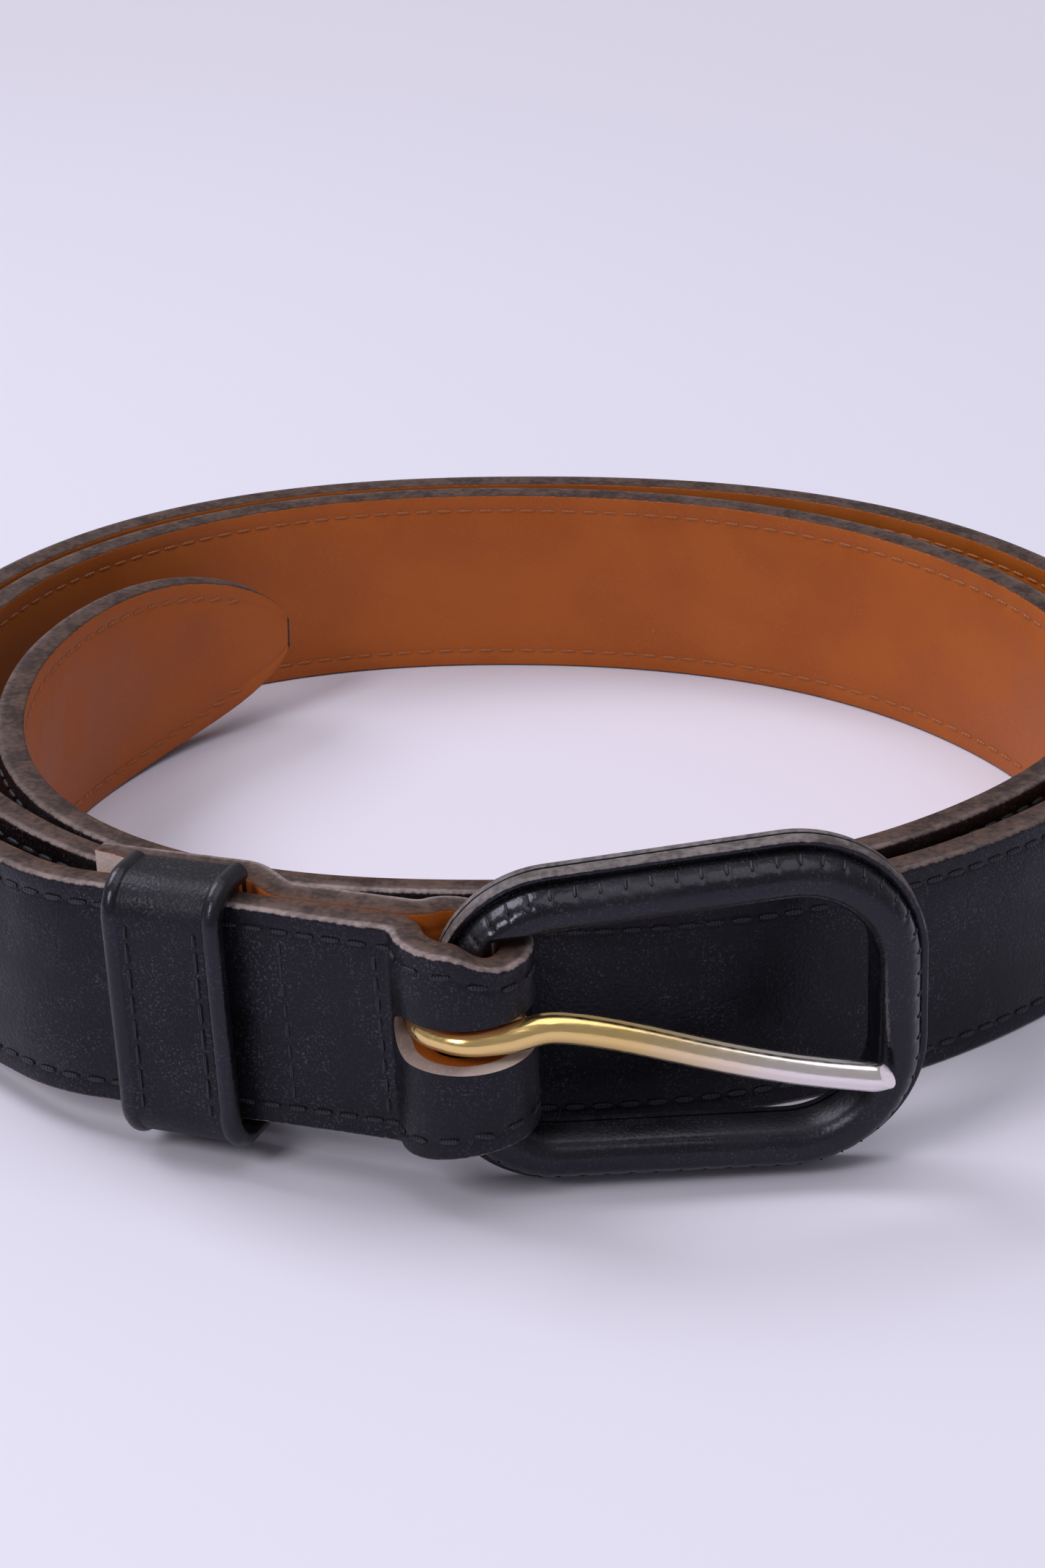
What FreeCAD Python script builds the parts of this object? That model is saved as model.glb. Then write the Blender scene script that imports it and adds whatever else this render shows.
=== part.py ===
"""Gentleman's leather dress belt, coiled up on its lower edge with the covered buckle in front.

Frame: millimetres, +Z up, the lower edge of the coiled strap on z = 0, the origin below the middle of
the whole belt, the buckle towards -Y.

The strap is two leathers, a black outer one and a tan lining.  Its buckle end is folded round the
buckle's bar, comes back behind the front stretch and is sewn to it.  A covered metal ring hangs in
that fold together with the prong, and a keeper loop slides on the front stretch.
"""
import FreeCAD
import Part
import Sketcher
import math
import os
from FreeCAD import Matrix, Placement, Rotation, Vector

# Driving dimensions: alias, value (mm or degrees), meaning.
DIMENSIONS = [
    ("strap_width", 26.0, "width of the strap"),
    ("leather_thick", 1.9, "black outer leather"),
    ("lining_thick", 1.6, "tan lining"),
    ("tail_taper", 40.0, "length over which the free end rounds off"),
    ("tail_flat", 0.4, "part of that length cut off flat at the very tip"),
    ("hole_diameter", 4.5, "prong holes of the free end"),
    ("hole_count", 5, "number of prong holes"),
    ("hole_pitch", 25.0, "distance from hole to hole"),
    ("hole_from_tip", 95.0, "first hole to the tip"),
    ("thread_width", 0.7, "sewing thread"),
    ("thread_proud", 0.15, "height of a thread above the leather"),
    ("thread_lift", 0.005, "thread across the strap clear of the leather under it"),
    ("edge_margin", 2.0, "edge stitching to the edge of the strap"),
    ("bar_x", -7.2, "hinge bar, middle of the fold"),
    ("bar_y", -75.45, "hinge bar, middle of the fold"),
    ("bar_height", 19.6, "hinge bar, middle of the fold, above the table"),
    ("bar_rise", 0.8, "rise of the fold towards the buckle, degrees"),
    ("bar_lean", 3.9, "lean of the hinge bar, top to the front, degrees"),
    ("front_yaw", 22.0, "turn of the front stretch, buckle end forward, degrees"),
    ("front_rise", 3.0, "rise of the front stretch towards the buckle, degrees"),
    ("front_reach", 43.0, "hinge bar to the end of the straight front stretch"),
    ("lift_decay", 150.0, "strap length over which the front stretch comes down to the table"),
    ("turn_back_reach", 45.0, "hinge bar to the raw end of the turn-back"),
    ("turn_back_spread", 3.7, "how far the free part of the turn-back stands off"),
    ("turn_back_ease", 7.5, "length over which the turn-back leaves the strap"),
    ("box_length", 12.4, "sewn double stretch beside the fold"),
    ("fold_ease", 3.2, "radius at the neck of the fold, middle of the leather"),
    ("fold_nip", 2.6, "narrowing of each edge at the top of the fold"),
    ("front_nip_from", -1.0, "bar to where the upper edge starts to narrow, in front"),
    ("front_nip_to", 3.5, "bar to where the upper edge is fully narrowed, in front"),
    ("slot_height", 5.3, "prong slot, across the strap"),
    ("slot_level", 1.8, "middle of the slot above the middle of the strap"),
    ("slot_reach", 6.3, "prong slot, from the bar towards the strap"),
    ("bar_radius", 3.6, "covered bar inside the fold"),
    ("bar_clearance", 0.4, "covered bar to the leather and to the prong's eye"),
    ("bend_radius", 22.0, "bend where the strap leaves the keeper"),
    ("bend_turn", 25.0, "turn of that bend, degrees"),
    ("coil_x", 0.2, "centre of the coil"),
    ("coil_y", 9.15, "centre of the coil"),
    ("coil_radius_2", 79.1, "outer turn at 180 degrees, middle of the strap"),
    ("coil_radius_3", 77.7, "outer turn at 135 degrees"),
    ("coil_radius_4", 72.5, "outer turn at 90 degrees"),
    ("coil_radius_5", 77.8, "outer turn at 45 degrees"),
    ("coil_radius_6", 78.8, "outer turn at 0 degrees"),
    ("coil_radius_7", 70.7, "outer turn at -45 degrees"),
    ("coil_radius_8", 68.2, "outer turn at -90 degrees"),
    ("coil_gap_1", 9.0, "clear gap inside the outer turn at 225 degrees"),
    ("coil_gap_2", 0.4, "clear gap at 180 degrees"),
    ("coil_gap_3", 1.2, "clear gap at 135 degrees"),
    ("coil_gap_4", 1.6, "clear gap at 90 degrees"),
    ("coil_gap_5", 5.0, "clear gap at 45 degrees"),
    ("coil_gap_6", 4.1, "clear gap at 0 degrees"),
    ("coil_gap_7", 2.9, "clear gap at -45 degrees"),
    ("coil_gap_8", 2.3, "clear gap at -90 degrees"),
    ("coil_gap_9", 0.5, "clear gap inside the second turn at 225 degrees"),
    ("coil_gap_10", 8.1, "clear gap inside the second turn at 180 degrees"),
    ("coil_gap_11", 10.0, "clear gap inside the second turn at 135 degrees"),
    ("tail_angle", 9.0, "free end beyond the last of those places, degrees"),
    ("keeper_width", 14.1, "keeper loop with its rims, along the strap"),
    ("keeper_leather", 1.0, "keeper's black leather"),
    ("keeper_lining", 0.6, "keeper's tan lining"),
    ("keeper_side_gap", 0.4, "keeper to the back of the front stretch"),
    ("keeper_edge_gap", 0.9, "keeper to the edges of the strap"),
    ("keeper_front_gap", 2.2, "keeper to the face of the strap"),
    ("keeper_corner", 3.0, "corner radius of the keeper loop, front"),
    ("keeper_back_corner", 0.4, "corner radius of the keeper loop, back"),
    ("keeper_offset", 4.3, "keeper to the sewn stretch"),
    ("rim_radius", 1.15, "rolled rims of the keeper"),
    ("rim_proud", 0.4, "height of the rims above the keeper's face"),
    ("ring_length", 52.5, "buckle ring"),
    ("ring_bar_height", 35.5, "buckle ring, bar side"),
    ("ring_end_height", 41.5, "buckle ring, free side"),
    ("ring_bar_corner", 13.0, "corner radius, bar side"),
    ("ring_end_corner", 14.8, "corner radius, free side"),
    ("ring_band", 6.0, "width of the ring's band"),
    ("bar_inset", 3.2, "hinge line to the outer edge of the bar side"),
    ("bar_half_height", 11.9, "half of the stretch turned down to a round bar"),
    ("ring_swing", 29.0, "how far the ring hangs back from the front stretch, degrees"),
    ("ring_drop", 1.0, "how far the ring has slid down in the fold"),
    ("backing_thick", 1.1, "leather behind the ring"),
    ("flange_thick", 1.9, "sewn edge of the ring's cover"),
    ("flange_setback", 0.1, "hinge line to the face of the sewn edge"),
    ("dome_height", 3.2, "rounded cover above that edge"),
    ("dome_rounding", 2.3, "rounding of the cover"),
    ("flange_land", 1.1, "sewn edge showing outside the rounded cover"),
    ("core_width", 3.0, "metal ring inside the cover"),
    ("core_depth", 3.9, "metal ring inside the cover"),
    ("core_inset", 2.0, "outer edge of the band to the metal ring"),
    ("stitch_pitch", 3.0, "stitches of the ring and of the keeper"),
    ("stitch_length", 2.1, "stitches of the ring and of the keeper"),
    ("prong_diameter", 3.3, "prong rod"),
    ("eye_rod", 2.0, "rod of the prong's eye"),
    ("prong_level", 1.8, "prong's eye above the middle of the strap"),
    ("prong_neck", 8.0, "bar to the first bend of the prong"),
    ("prong_neck_rise", 0.9, "rise of the prong up to that bend"),
    ("prong_elbow", 35.4, "bar to the second bend of the prong"),
    ("prong_elbow_drop", 7.7, "drop of the prong at the second bend, from the eye"),
    ("prong_reach", 45.2, "bar to the tip of the prong"),
    ("prong_tip_drop", 9.8, "drop of the tip, from the eye"),
    ("tip_clearance", 0.2, "tip to the cover of the ring"),
    ("tip_chamfer", 1.4, "chamfer round the tip, along the rod"),
    ("tip_chamfer_face", 0.84, "chamfer round the tip, across its end"),
]

doc = FreeCAD.newDocument("belt")
sheet = doc.addObject("Spreadsheet::Sheet", "Dimensions")
for row, (alias, value, meaning) in enumerate(DIMENSIONS, start=1):
    sheet.set(f"A{row}", alias)
    sheet.set(f"B{row}", str(value))
    sheet.setAlias(f"B{row}", alias)
    sheet.set(f"C{row}", meaning)
doc.recompute()


def size(alias):
    """The present value of one driving dimension."""
    return float(getattr(sheet, alias))


# ---------------------------------------------------------------- derived sizes
half_width = size("strap_width") / 2
strap_thick = size("leather_thick") + size("lining_thick")
half_thick = strap_thick / 2
fold_inner = size("bar_radius") + size("bar_clearance")
fold_middle = fold_inner + half_thick
neck_level = half_thick + size("fold_ease")
neck_reach = math.sqrt((fold_middle + size("fold_ease")) ** 2 - neck_level ** 2)
neck_angle = math.atan2(neck_level, -neck_reach)
sewn_start = -neck_reach
sewn_end = sewn_start - size("box_length")
outer_radii = [size(alias) for alias, value, meaning in DIMENSIONS if alias.startswith("coil_radius_")]
coil_gaps = [size(alias) for alias, value, meaning in DIMENSIONS if alias.startswith("coil_gap_")]
STATION_STEP = 4.5                 # spacing of the sections along the coil
FRONT_STEP = 2.5                   # spacing along the front stretch and its bend
TURN_BACK_STEP = 1.5               # spacing along the turn-back
FOLD_STEP = 0.2                    # spacing round the fold, radians
TAIL_PLACES = (32, 25, 19, 14, 10, 7, 4.6, 2.8, 1.5)    # sections of the free end, from the tip
STATIONS_PER_TURN = 8              # places round the coil where its radius is given
STATION_ANGLE = 360 / STATIONS_PER_TURN
COIL_STEP = 1 / 3                  # spacing of the coil's curve points, in those places
TAIL_ROUNDNESS = 2.4               # 2 is a half ellipse, more is squarer
SEWN_SHARE = 0.6                   # the edge stitching ends where the free end is this much as wide
SPAN = 24.0                        # longest face along the strap
TOUCH = 1e-4                       # lengths closer than this are the same
LEVEL = 1e-6                       # a face whose heights differ by less is flat


def frame_at(yaw, rise, lean):
    """Directions along, across (to the front) and up for a stretch turned, raised and leaned."""
    yaw, rise, lean = (math.radians(angle) for angle in (yaw, rise, lean))
    along = Vector(math.cos(yaw) * math.cos(rise), -math.sin(yaw) * math.cos(rise), math.sin(rise))
    upright = Vector(-math.sin(rise) * math.cos(yaw), math.sin(rise) * math.sin(yaw), math.cos(rise))
    front = along.cross(upright)
    up = upright * math.cos(lean) + front * math.sin(lean)
    return along, along.cross(up), up


bar_centre = Vector(size("bar_x"), size("bar_y"), size("bar_height"))
bar_along, bar_front, bar_up = frame_at(size("front_yaw"), size("bar_rise"), size("bar_lean"))
run_along, run_front, run_up = frame_at(size("front_yaw"), size("front_rise"), 0.0)
neck_centre = bar_centre + bar_along * sewn_start


def ease(share):
    """Smooth step from 0 to 1."""
    share = min(max(share, 0.0), 1.0)
    return share * share * (3 - 2 * share)


def front_frame(reach):
    """Origin and directions of the front stretch at a distance along it, negative left of the bar.

    The stretch twists from the bar's lean at the fold to upright at its far end.
    """
    share = ease((sewn_start - reach) / (size("front_reach") + sewn_start))
    up = bar_up * (1 - share) + run_up * share
    along = run_along
    front = along.cross(up).normalize()
    up = front.cross(along)
    return neck_centre + run_along * (reach - sewn_start), along, front, up


# ---------------------------------------------------------------- the strap's path
class Station:
    """One cross-section of the strap: middle, direction up the strap, outward direction, half width."""

    def __init__(self, middle, up, outward, half):
        self.middle = middle
        self.up = up
        self.outward = outward
        self.half = half

    def point(self, across, height):
        return self.middle + self.outward * across + self.up * height


def turn_back_level(reach):
    """Middle of the turn-back behind the strap, and its slope, at a distance from the bar."""
    share = min(max((sewn_end - reach) / size("turn_back_ease"), 0.0), 1.0)
    level = -half_thick - size("turn_back_spread") * ease(share)
    slope = size("turn_back_spread") * 6 * share * (1 - share) / size("turn_back_ease")
    return level, slope


def spaced(start, end, step):
    """Evenly spaced values from start to end, both included."""
    count = max(1, math.ceil(abs(end - start) / step))
    return [start + (end - start) * i / count for i in range(count + 1)]


def turn_back_stations():
    """From the raw end behind the keeper to the neck of the fold."""
    stations = []
    for reach in spaced(-size("turn_back_reach"), sewn_start, TURN_BACK_STEP)[:-1]:
        centre, along, front, up = front_frame(reach)
        level, slope = turn_back_level(reach)
        heading = (along + front * slope).normalize()
        stations.append(Station(centre + front * level, up, heading.cross(up) * -1, half_width))
    return stations


def fold_stations():
    """Round the bar: an easing arc, the wrap about the bar and the easing arc back."""
    wrap = neck_angle
    ease_turn = neck_angle - math.pi / 2
    places = []
    for turn in spaced(0.0, ease_turn, FOLD_STEP):
        places.append((-neck_reach + size("fold_ease") * math.sin(turn),
                       -neck_level + size("fold_ease") * math.cos(turn), -math.sin(turn), -math.cos(turn)))
    for angle in spaced(-wrap, wrap, FOLD_STEP)[1:-1]:
        places.append((fold_middle * math.cos(angle), fold_middle * math.sin(angle),
                       math.cos(angle), math.sin(angle)))
    for turn in spaced(ease_turn, 0.0, FOLD_STEP):
        places.append((-neck_reach + size("fold_ease") * math.sin(turn),
                       neck_level - size("fold_ease") * math.cos(turn), -math.sin(turn), math.cos(turn)))
    stations = []
    for along, front, out_along, out_front in places:
        lower = upper = half_width - size("fold_nip") * ease((along + neck_reach) / (fold_middle + neck_reach))
        if front > 0:
            share = (along - size("front_nip_from")) / (size("front_nip_to") - size("front_nip_from"))
            upper = half_width - size("fold_nip") * ease(share)
        middle = bar_centre + bar_along * along + bar_front * front + bar_up * ((upper - lower) / 2)
        outward = bar_along * out_along + bar_front * out_front
        stations.append(Station(middle, bar_up, outward, (upper + lower) / 2))
    return stations


def front_stations():
    """The straight front stretch, from the neck to beyond the keeper."""
    stations = []
    for reach in spaced(sewn_start, -size("front_reach"), FRONT_STEP)[1:]:
        centre, along, front, up = front_frame(reach)
        stations.append(Station(centre + front * half_thick, up, front, half_width))
    return stations


def coil_radii():
    """Radii of the strap's middle every 45 degrees, clockwise from 225, each turn inside the last."""
    bend_end = coil_start()[0]
    first = math.hypot(bend_end.x - size("coil_x"), bend_end.y - size("coil_y"))
    radii = [first] + outer_radii
    for i, gap in enumerate(coil_gaps):
        radii.append(radii[i] - strap_thick - gap)
    return radii


def between_stations(values, place):
    """Smooth value between two stations, with each station's slope taken from its two neighbours."""
    k = min(int(place), len(values) - 2)
    rise = values[k + 1] - values[k]
    near_slope = (values[k + 1] - values[max(k - 1, 0)]) / 2
    far_slope = (values[min(k + 2, len(values) - 1)] - values[k]) / 2
    share = place - k
    return (values[k] + rise * ease(share) + near_slope * share * (1 - share) ** 2
            - far_slope * share ** 2 * (1 - share))


def coil_radius(radii, place):
    """Radius at a place counted in stations; a turn never presses into the one outside it."""
    radius = between_stations(radii, place)
    if place < STATIONS_PER_TURN:
        return radius
    k = int(place) - STATIONS_PER_TURN
    gap = min(coil_gaps[k:k + 2])
    outside = coil_radius(radii, place - STATIONS_PER_TURN)
    return min(radius, outside - strap_thick - gap)


def coil_start():
    """End of the bend behind the keeper: its place and direction."""
    centre, along, front, up = front_frame(-size("front_reach"))
    start = centre + front * half_thick
    heading = math.pi - math.radians(size("front_yaw"))
    turn = math.radians(size("bend_turn"))
    chord = 2 * size("bend_radius") * math.sin(turn / 2)
    middle = heading - turn / 2
    end = start + Vector(math.cos(middle), math.sin(middle), 0) * chord
    return Vector(end.x, end.y, 0), heading - turn


def coil_line():
    """Smooth plan curve of the coil, from the end of the bend to the tip."""
    radii = coil_radii()
    start, heading = coil_start()
    points = [start]
    last_place = len(radii) - 1 + size("tail_angle") / STATION_ANGLE
    for place in spaced(0.0, last_place, COIL_STEP)[1:]:
        angle = math.radians(225 - STATION_ANGLE * place)
        radius = coil_radius(radii, place)
        points.append(Vector(size("coil_x") + radius * math.cos(angle),
                             size("coil_y") + radius * math.sin(angle), 0))
    runs = [0.0]
    for before, after in zip(points, points[1:]):
        runs.append(runs[-1] + (after - before).Length)
    curve = Part.BSplineCurve()
    curve.interpolate(Points=points, Parameters=runs, Scale=False,
                      InitialTangent=Vector(math.cos(heading), math.sin(heading), 0),
                      FinalTangent=Vector(math.sin(angle), -math.cos(angle), 0))
    return curve


def tail_half(to_tip):
    """Half width of the strap at a distance from the tip."""
    if to_tip >= size("tail_taper"):
        return half_width
    share = 1 - to_tip / size("tail_taper")
    return half_width * math.sqrt(1 - share ** TAIL_ROUNDNESS)


def settle(run):
    """Height of the strap's middle above its resting height, and its slope, along the way."""
    start = front_frame(-size("front_reach"))[0].z - half_width
    slope = -math.tan(math.radians(size("front_rise")))
    length = size("lift_decay")
    share = min(run / length, 1.0)
    height = start * (1 - ease(share)) + slope * length * share * (1 - share) ** 2
    steep = -start * 6 * share * (1 - share) / length + slope * (1 - share) * (1 - 3 * share)
    return height, steep


def coil_stations():
    """The bend behind the keeper, the coil and the rounded free end."""
    centre, along, front, up = front_frame(-size("front_reach"))
    start = centre + front * half_thick
    heading = math.pi - math.radians(size("front_yaw"))
    bend = math.radians(size("bend_turn"))
    bend_length = size("bend_radius") * bend
    places = []
    for run in spaced(0.0, bend_length, FRONT_STEP)[1:]:
        turn = run / size("bend_radius")
        middle = heading - turn / 2
        chord = 2 * size("bend_radius") * math.sin(turn / 2)
        place = start + Vector(math.cos(middle), math.sin(middle), 0) * chord
        places.append((run, place, heading - turn, half_width))
    curve = coil_line()
    length = curve.length()
    near_tip = [length - to_tip for to_tip in TAIL_PLACES + (size("tail_flat"),)]
    runs = spaced(0.0, near_tip[0] - STATION_STEP, STATION_STEP)[1:] + near_tip
    for run in runs:
        parameter = curve.parameterAtDistance(run, curve.FirstParameter)
        tangent = curve.tangent(parameter)[0]
        places.append((run + bend_length, curve.value(parameter), math.atan2(tangent.y, tangent.x),
                       tail_half(length - run)))
    stations = []
    for run, place, direction, half in places:
        height, steep = settle(run)
        flat = Vector(math.cos(direction), math.sin(direction), 0)
        up = (Vector(0, 0, 1) - flat * steep).normalize()
        middle = Vector(place.x, place.y, half_width + height)
        stations.append(Station(middle, up, Vector(-flat.y, flat.x, 0), half))
    return stations


turn_back = turn_back_stations()
fold = fold_stations()
front_run = front_stations()
coil = coil_stations()
strap_stations = turn_back + fold + front_run + coil


# ---------------------------------------------------------------- strips along the strap
def span_face(patch):
    """Face of one ruled patch, made a plane where the patch lies level."""
    heights = [pole.z for row in patch.getPoles() for pole in row]
    face = patch.toShape()
    if max(heights) - min(heights) > LEVEL:
        return face
    return Part.Face(Part.Wire(Part.__sortEdges__(face.Edges)))


def strip(stations, inside, outside, low, high):
    """Solid following the strap between two distances from its middle and two heights.

    low and high give a height from the half width.  Each face is ruled between two smooth rails.
    """
    runs = [0.0]
    for before, after in zip(stations, stations[1:]):
        runs.append(runs[-1] + (after.middle - before.middle).Length)
    corners = [(inside, low), (outside, low), (outside, high), (inside, high)]
    rails = []
    for across, height in corners:
        rail = Part.BSplineCurve()
        rail.interpolate(Points=[s.point(across, height(s.half)) for s in stations], Parameters=runs)
        rails.append(rail)
    count = math.ceil(runs[-1] / SPAN)
    cuts = [runs[round(i * (len(runs) - 1) / count)] for i in range(count + 1)]
    faces = []
    for one, two in zip(rails, rails[1:] + rails[:1]):
        surface = Part.BSplineSurface()
        surface.buildFromPolesMultsKnots(list(zip(one.getPoles(), two.getPoles())),
                                         one.getMultiplicities(), [2, 2], one.getKnots(), [0.0, 1.0],
                                         False, False, one.Degree, 1)
        for start, end in zip(cuts, cuts[1:]):
            patch = surface.copy()
            patch.segment(start, end, 0.0, 1.0)
            faces.append(span_face(patch))
    for parameter in (cuts[0], cuts[-1]):
        ends = [rail.value(parameter) for rail in rails]
        faces.append(Part.Face(Part.makePolygon(ends + ends[:1])))
    shell = Part.Shell(faces)
    shell.sewShape()
    solid = Part.Solid(shell)
    if solid.Volume < 0:
        solid.reverse()
    return solid


def matrix_of(origin, along, back, up):
    """Placement whose local X, Y and Z are the three given directions."""
    return Placement(Matrix(along.x, back.x, up.x, origin.x,
                            along.y, back.y, up.y, origin.y,
                            along.z, back.z, up.z, origin.z,
                            0, 0, 0, 1))


bar_place = matrix_of(bar_centre, bar_along, bar_front * -1, bar_up)


def slot_tool():
    """Long hole for the prong, across the fold, with round ends towards the strap."""
    reach = fold_middle + strap_thick
    radius = size("slot_height") / 2
    start = radius - size("slot_reach")
    level = size("slot_level")
    block = Part.makeBox(reach - start, 2 * reach, 2 * radius, Vector(start, -reach, level - radius))
    end = Part.makeCylinder(radius, 2 * reach, Vector(start, -reach, level), Vector(0, 1, 0))
    tool = block.fuse(end)
    tool.Placement = bar_place
    return tool


def hole_tools():
    """Round prong holes along the free end."""
    runs = [0.0]
    for before, after in zip(coil, coil[1:]):
        runs.append(runs[-1] + (after.middle - before.middle).Length)
    tools = []
    for i in range(int(size("hole_count"))):
        wanted = runs[-1] + size("tail_flat") - size("hole_from_tip") - i * size("hole_pitch")
        k = max(j for j in range(len(runs) - 1) if runs[j] <= wanted)
        share = (wanted - runs[k]) / (runs[k + 1] - runs[k])
        middle = coil[k].middle * (1 - share) + coil[k + 1].middle * share
        outward = coil[k].outward * (1 - share) + coil[k + 1].outward * share
        start = middle - outward * strap_thick
        tools.append(Part.makeCylinder(size("hole_diameter") / 2, 2 * strap_thick, start, outward))
    return tools


def add_feature(label, shape, placement=None):
    """Part::Feature holding a finished shape."""
    feature = doc.addObject("Part::Feature", label)
    feature.Label = label
    feature.Shape = shape
    feature.Placement = placement or Placement()
    return feature


pieces = []

between = size("lining_thick") - half_thick
strap_tools = [slot_tool()] + hole_tools()
leather = strip(strap_stations, between, half_thick, lambda h: -h, lambda h: h)
pieces.append(add_feature("strap_outer_leather", leather.cut(strap_tools)))
lining = strip(strap_stations, -half_thick, between, lambda h: -h, lambda h: h)
pieces.append(add_feature("strap_lining", lining.cut(strap_tools)))


# ---------------------------------------------------------------- stitching of the strap
sewn_rows = front_run + [s for s in coil if s.half > half_width * SEWN_SHARE]
proud = half_thick + size("thread_proud")
row_out = size("edge_margin")
row_in = row_out + size("thread_width")
pieces.append(add_feature("upper_edge_stitching", strip(
    sewn_rows, half_thick, proud, lambda h: h - row_in, lambda h: h - row_out)))
pieces.append(add_feature("lower_edge_stitching", strip(
    sewn_rows, half_thick, proud, lambda h: row_out - h, lambda h: row_in - h)))


def turn_back_stitching():
    """Two rows across the strap, on the front and on the turn-back, beside the neck and further on."""
    bars = []
    height = size("strap_width") - 2 * row_in
    for reach in (sewn_start - size("thread_width"), sewn_end + size("thread_width")):
        centre, along, front, up = front_frame(reach)
        place = matrix_of(centre, along, front * -1, up)
        face = strap_thick + size("thread_lift")
        for level in (-face - size("thread_proud"), face):
            bar = Part.makeBox(size("thread_width"), size("thread_proud"), height,
                               Vector(-size("thread_width") / 2, level, -height / 2))
            bar.Placement = place
            bars.append(bar)
    return Part.makeCompound(bars)


pieces.append(add_feature("turn_back_stitching", turn_back_stitching()))


# ---------------------------------------------------------------- sketched pieces
def origin_plane(body, role):
    return next(f for f in body.Origin.OriginFeatures if f.Role == role)


def add_body(label, placement):
    body = doc.addObject("PartDesign::Body", label)
    body.Label = label
    body.Placement = placement
    return body


def add_sketch(body, name, role, offset=None):
    """Sketch on one of the body's own origin planes; offset is an expression along its normal."""
    sketch = body.newObject("Sketcher::SketchObject", name)
    sketch.AttachmentSupport = [(origin_plane(body, role), "")]
    sketch.MapMode = "FlatFace"
    if offset:
        sketch.setExpression(".AttachmentOffset.Base.z", offset)
    return sketch


def worked_out(expression):
    """Present value of an expression, from a spare cell of the sheet."""
    sheet.set("E1", "=" + expression.replace("Dimensions.", ""))
    doc.recompute()
    return float(sheet.E1)


def add_outline(sketch, name, near, far, rise, slope, near_radius, far_radius):
    """Constrained four-sided outline with rounded corners, level with the sketch's horizontal axis.

    near and far are the two upright sides; rise is the distance from the sketch's origin to each
    sloping side and slope its angle.  Every size is an expression on the sheet.
    """
    x1, x2, d, a, r1, r2 = (worked_out(e) for e in (near, far, rise, slope, near_radius, far_radius))
    a = math.radians(a)
    normal = Vector(-math.sin(a), math.cos(a), 0)

    def on_slope(centre_x, radius):
        centre = Vector(centre_x, (d - radius - normal.x * centre_x) / normal.y, 0)
        return centre, centre + normal * radius

    c1, t1 = on_slope(x1 + r1, r1)
    c2, t2 = on_slope(x2 - r2, r2)

    def low(v):
        return Vector(v.x, -v.y, 0)

    def arc(centre, radius, start, end):
        circle = Part.Circle(centre, Vector(0, 0, 1), radius)
        return Part.ArcOfCircle(circle, start, end)

    left, right, quarter = math.pi, 0.0, math.pi / 2
    first = sketch.GeometryCount
    shapes = [
        Part.LineSegment(Vector(x1, -c1.y, 0), Vector(x1, c1.y, 0)),
        arc(c1, r1, quarter + a, left),
        Part.LineSegment(t1, t2),
        arc(c2, r2, right, quarter + a),
        Part.LineSegment(Vector(x2, c2.y, 0), Vector(x2, -c2.y, 0)),
        arc(low(c2), r2, -quarter - a, right),
        Part.LineSegment(low(t2), low(t1)),
        arc(low(c1), r1, left, left + quarter - a),
    ]
    sketch.addGeometry(shapes, False)
    g = list(range(first, first + 8))
    start, end = 1, 2
    joins = [(g[0], end, g[1], end), (g[1], start, g[2], start), (g[2], end, g[3], end),
             (g[3], start, g[4], start), (g[4], end, g[5], end), (g[5], start, g[6], start),
             (g[6], end, g[7], end), (g[7], start, g[0], start)]
    for one, one_end, two, two_end in joins:
        sketch.addConstraint(Sketcher.Constraint("Tangent", one, one_end, two, two_end))
    bound = [
        ("near", Sketcher.Constraint("DistanceX", -1, 1, g[0], 1, x1), near),
        ("far", Sketcher.Constraint("DistanceX", -1, 1, g[4], 1, x2), far),
        ("near_radius", Sketcher.Constraint("Radius", g[1], r1), near_radius),
        ("far_radius", Sketcher.Constraint("Radius", g[3], r2), far_radius),
    ]
    sketch.addConstraint(Sketcher.Constraint("Equal", g[1], g[7]))
    sketch.addConstraint(Sketcher.Constraint("Equal", g[3], g[5]))
    sketch.addConstraint(Sketcher.Constraint("Symmetric", g[0], 1, g[0], 2, -1))
    sketch.addConstraint(Sketcher.Constraint("Symmetric", g[4], 1, g[4], 2, -1))
    bound.append(("rise", Sketcher.Constraint("Distance", -1, 1, g[2], d), rise))
    for label, constraint, expression in bound:
        index = sketch.addConstraint(constraint)
        sketch.renameConstraint(index, f"{name}_{label}")
        sketch.setExpression(f"Constraints.{name}_{label}", expression)
    if a:
        index = sketch.addConstraint(Sketcher.Constraint("Angle", g[2], a))
        sketch.renameConstraint(index, f"{name}_slope")
        sketch.setExpression(f"Constraints.{name}_slope", slope)
    else:
        sketch.addConstraint(Sketcher.Constraint("Horizontal", g[2]))


def add_pad(body, sketch, length, both_sides=False):
    pad = body.newObject("PartDesign::Pad", "Pad_" + sketch.Name)
    pad.Profile = sketch
    pad.setExpression("Length", length)
    pad.Midplane = both_sides
    body.Tip = pad
    return pad


def add_pocket(body, sketch, length):
    """Cut from the sketch to the front of the ring."""
    pocket = body.newObject("PartDesign::Pocket", "Pocket_" + sketch.Name)
    pocket.Profile = sketch
    pocket.Reversed = True
    pocket.setExpression("Length", length)
    body.Tip = pocket
    return pocket


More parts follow.
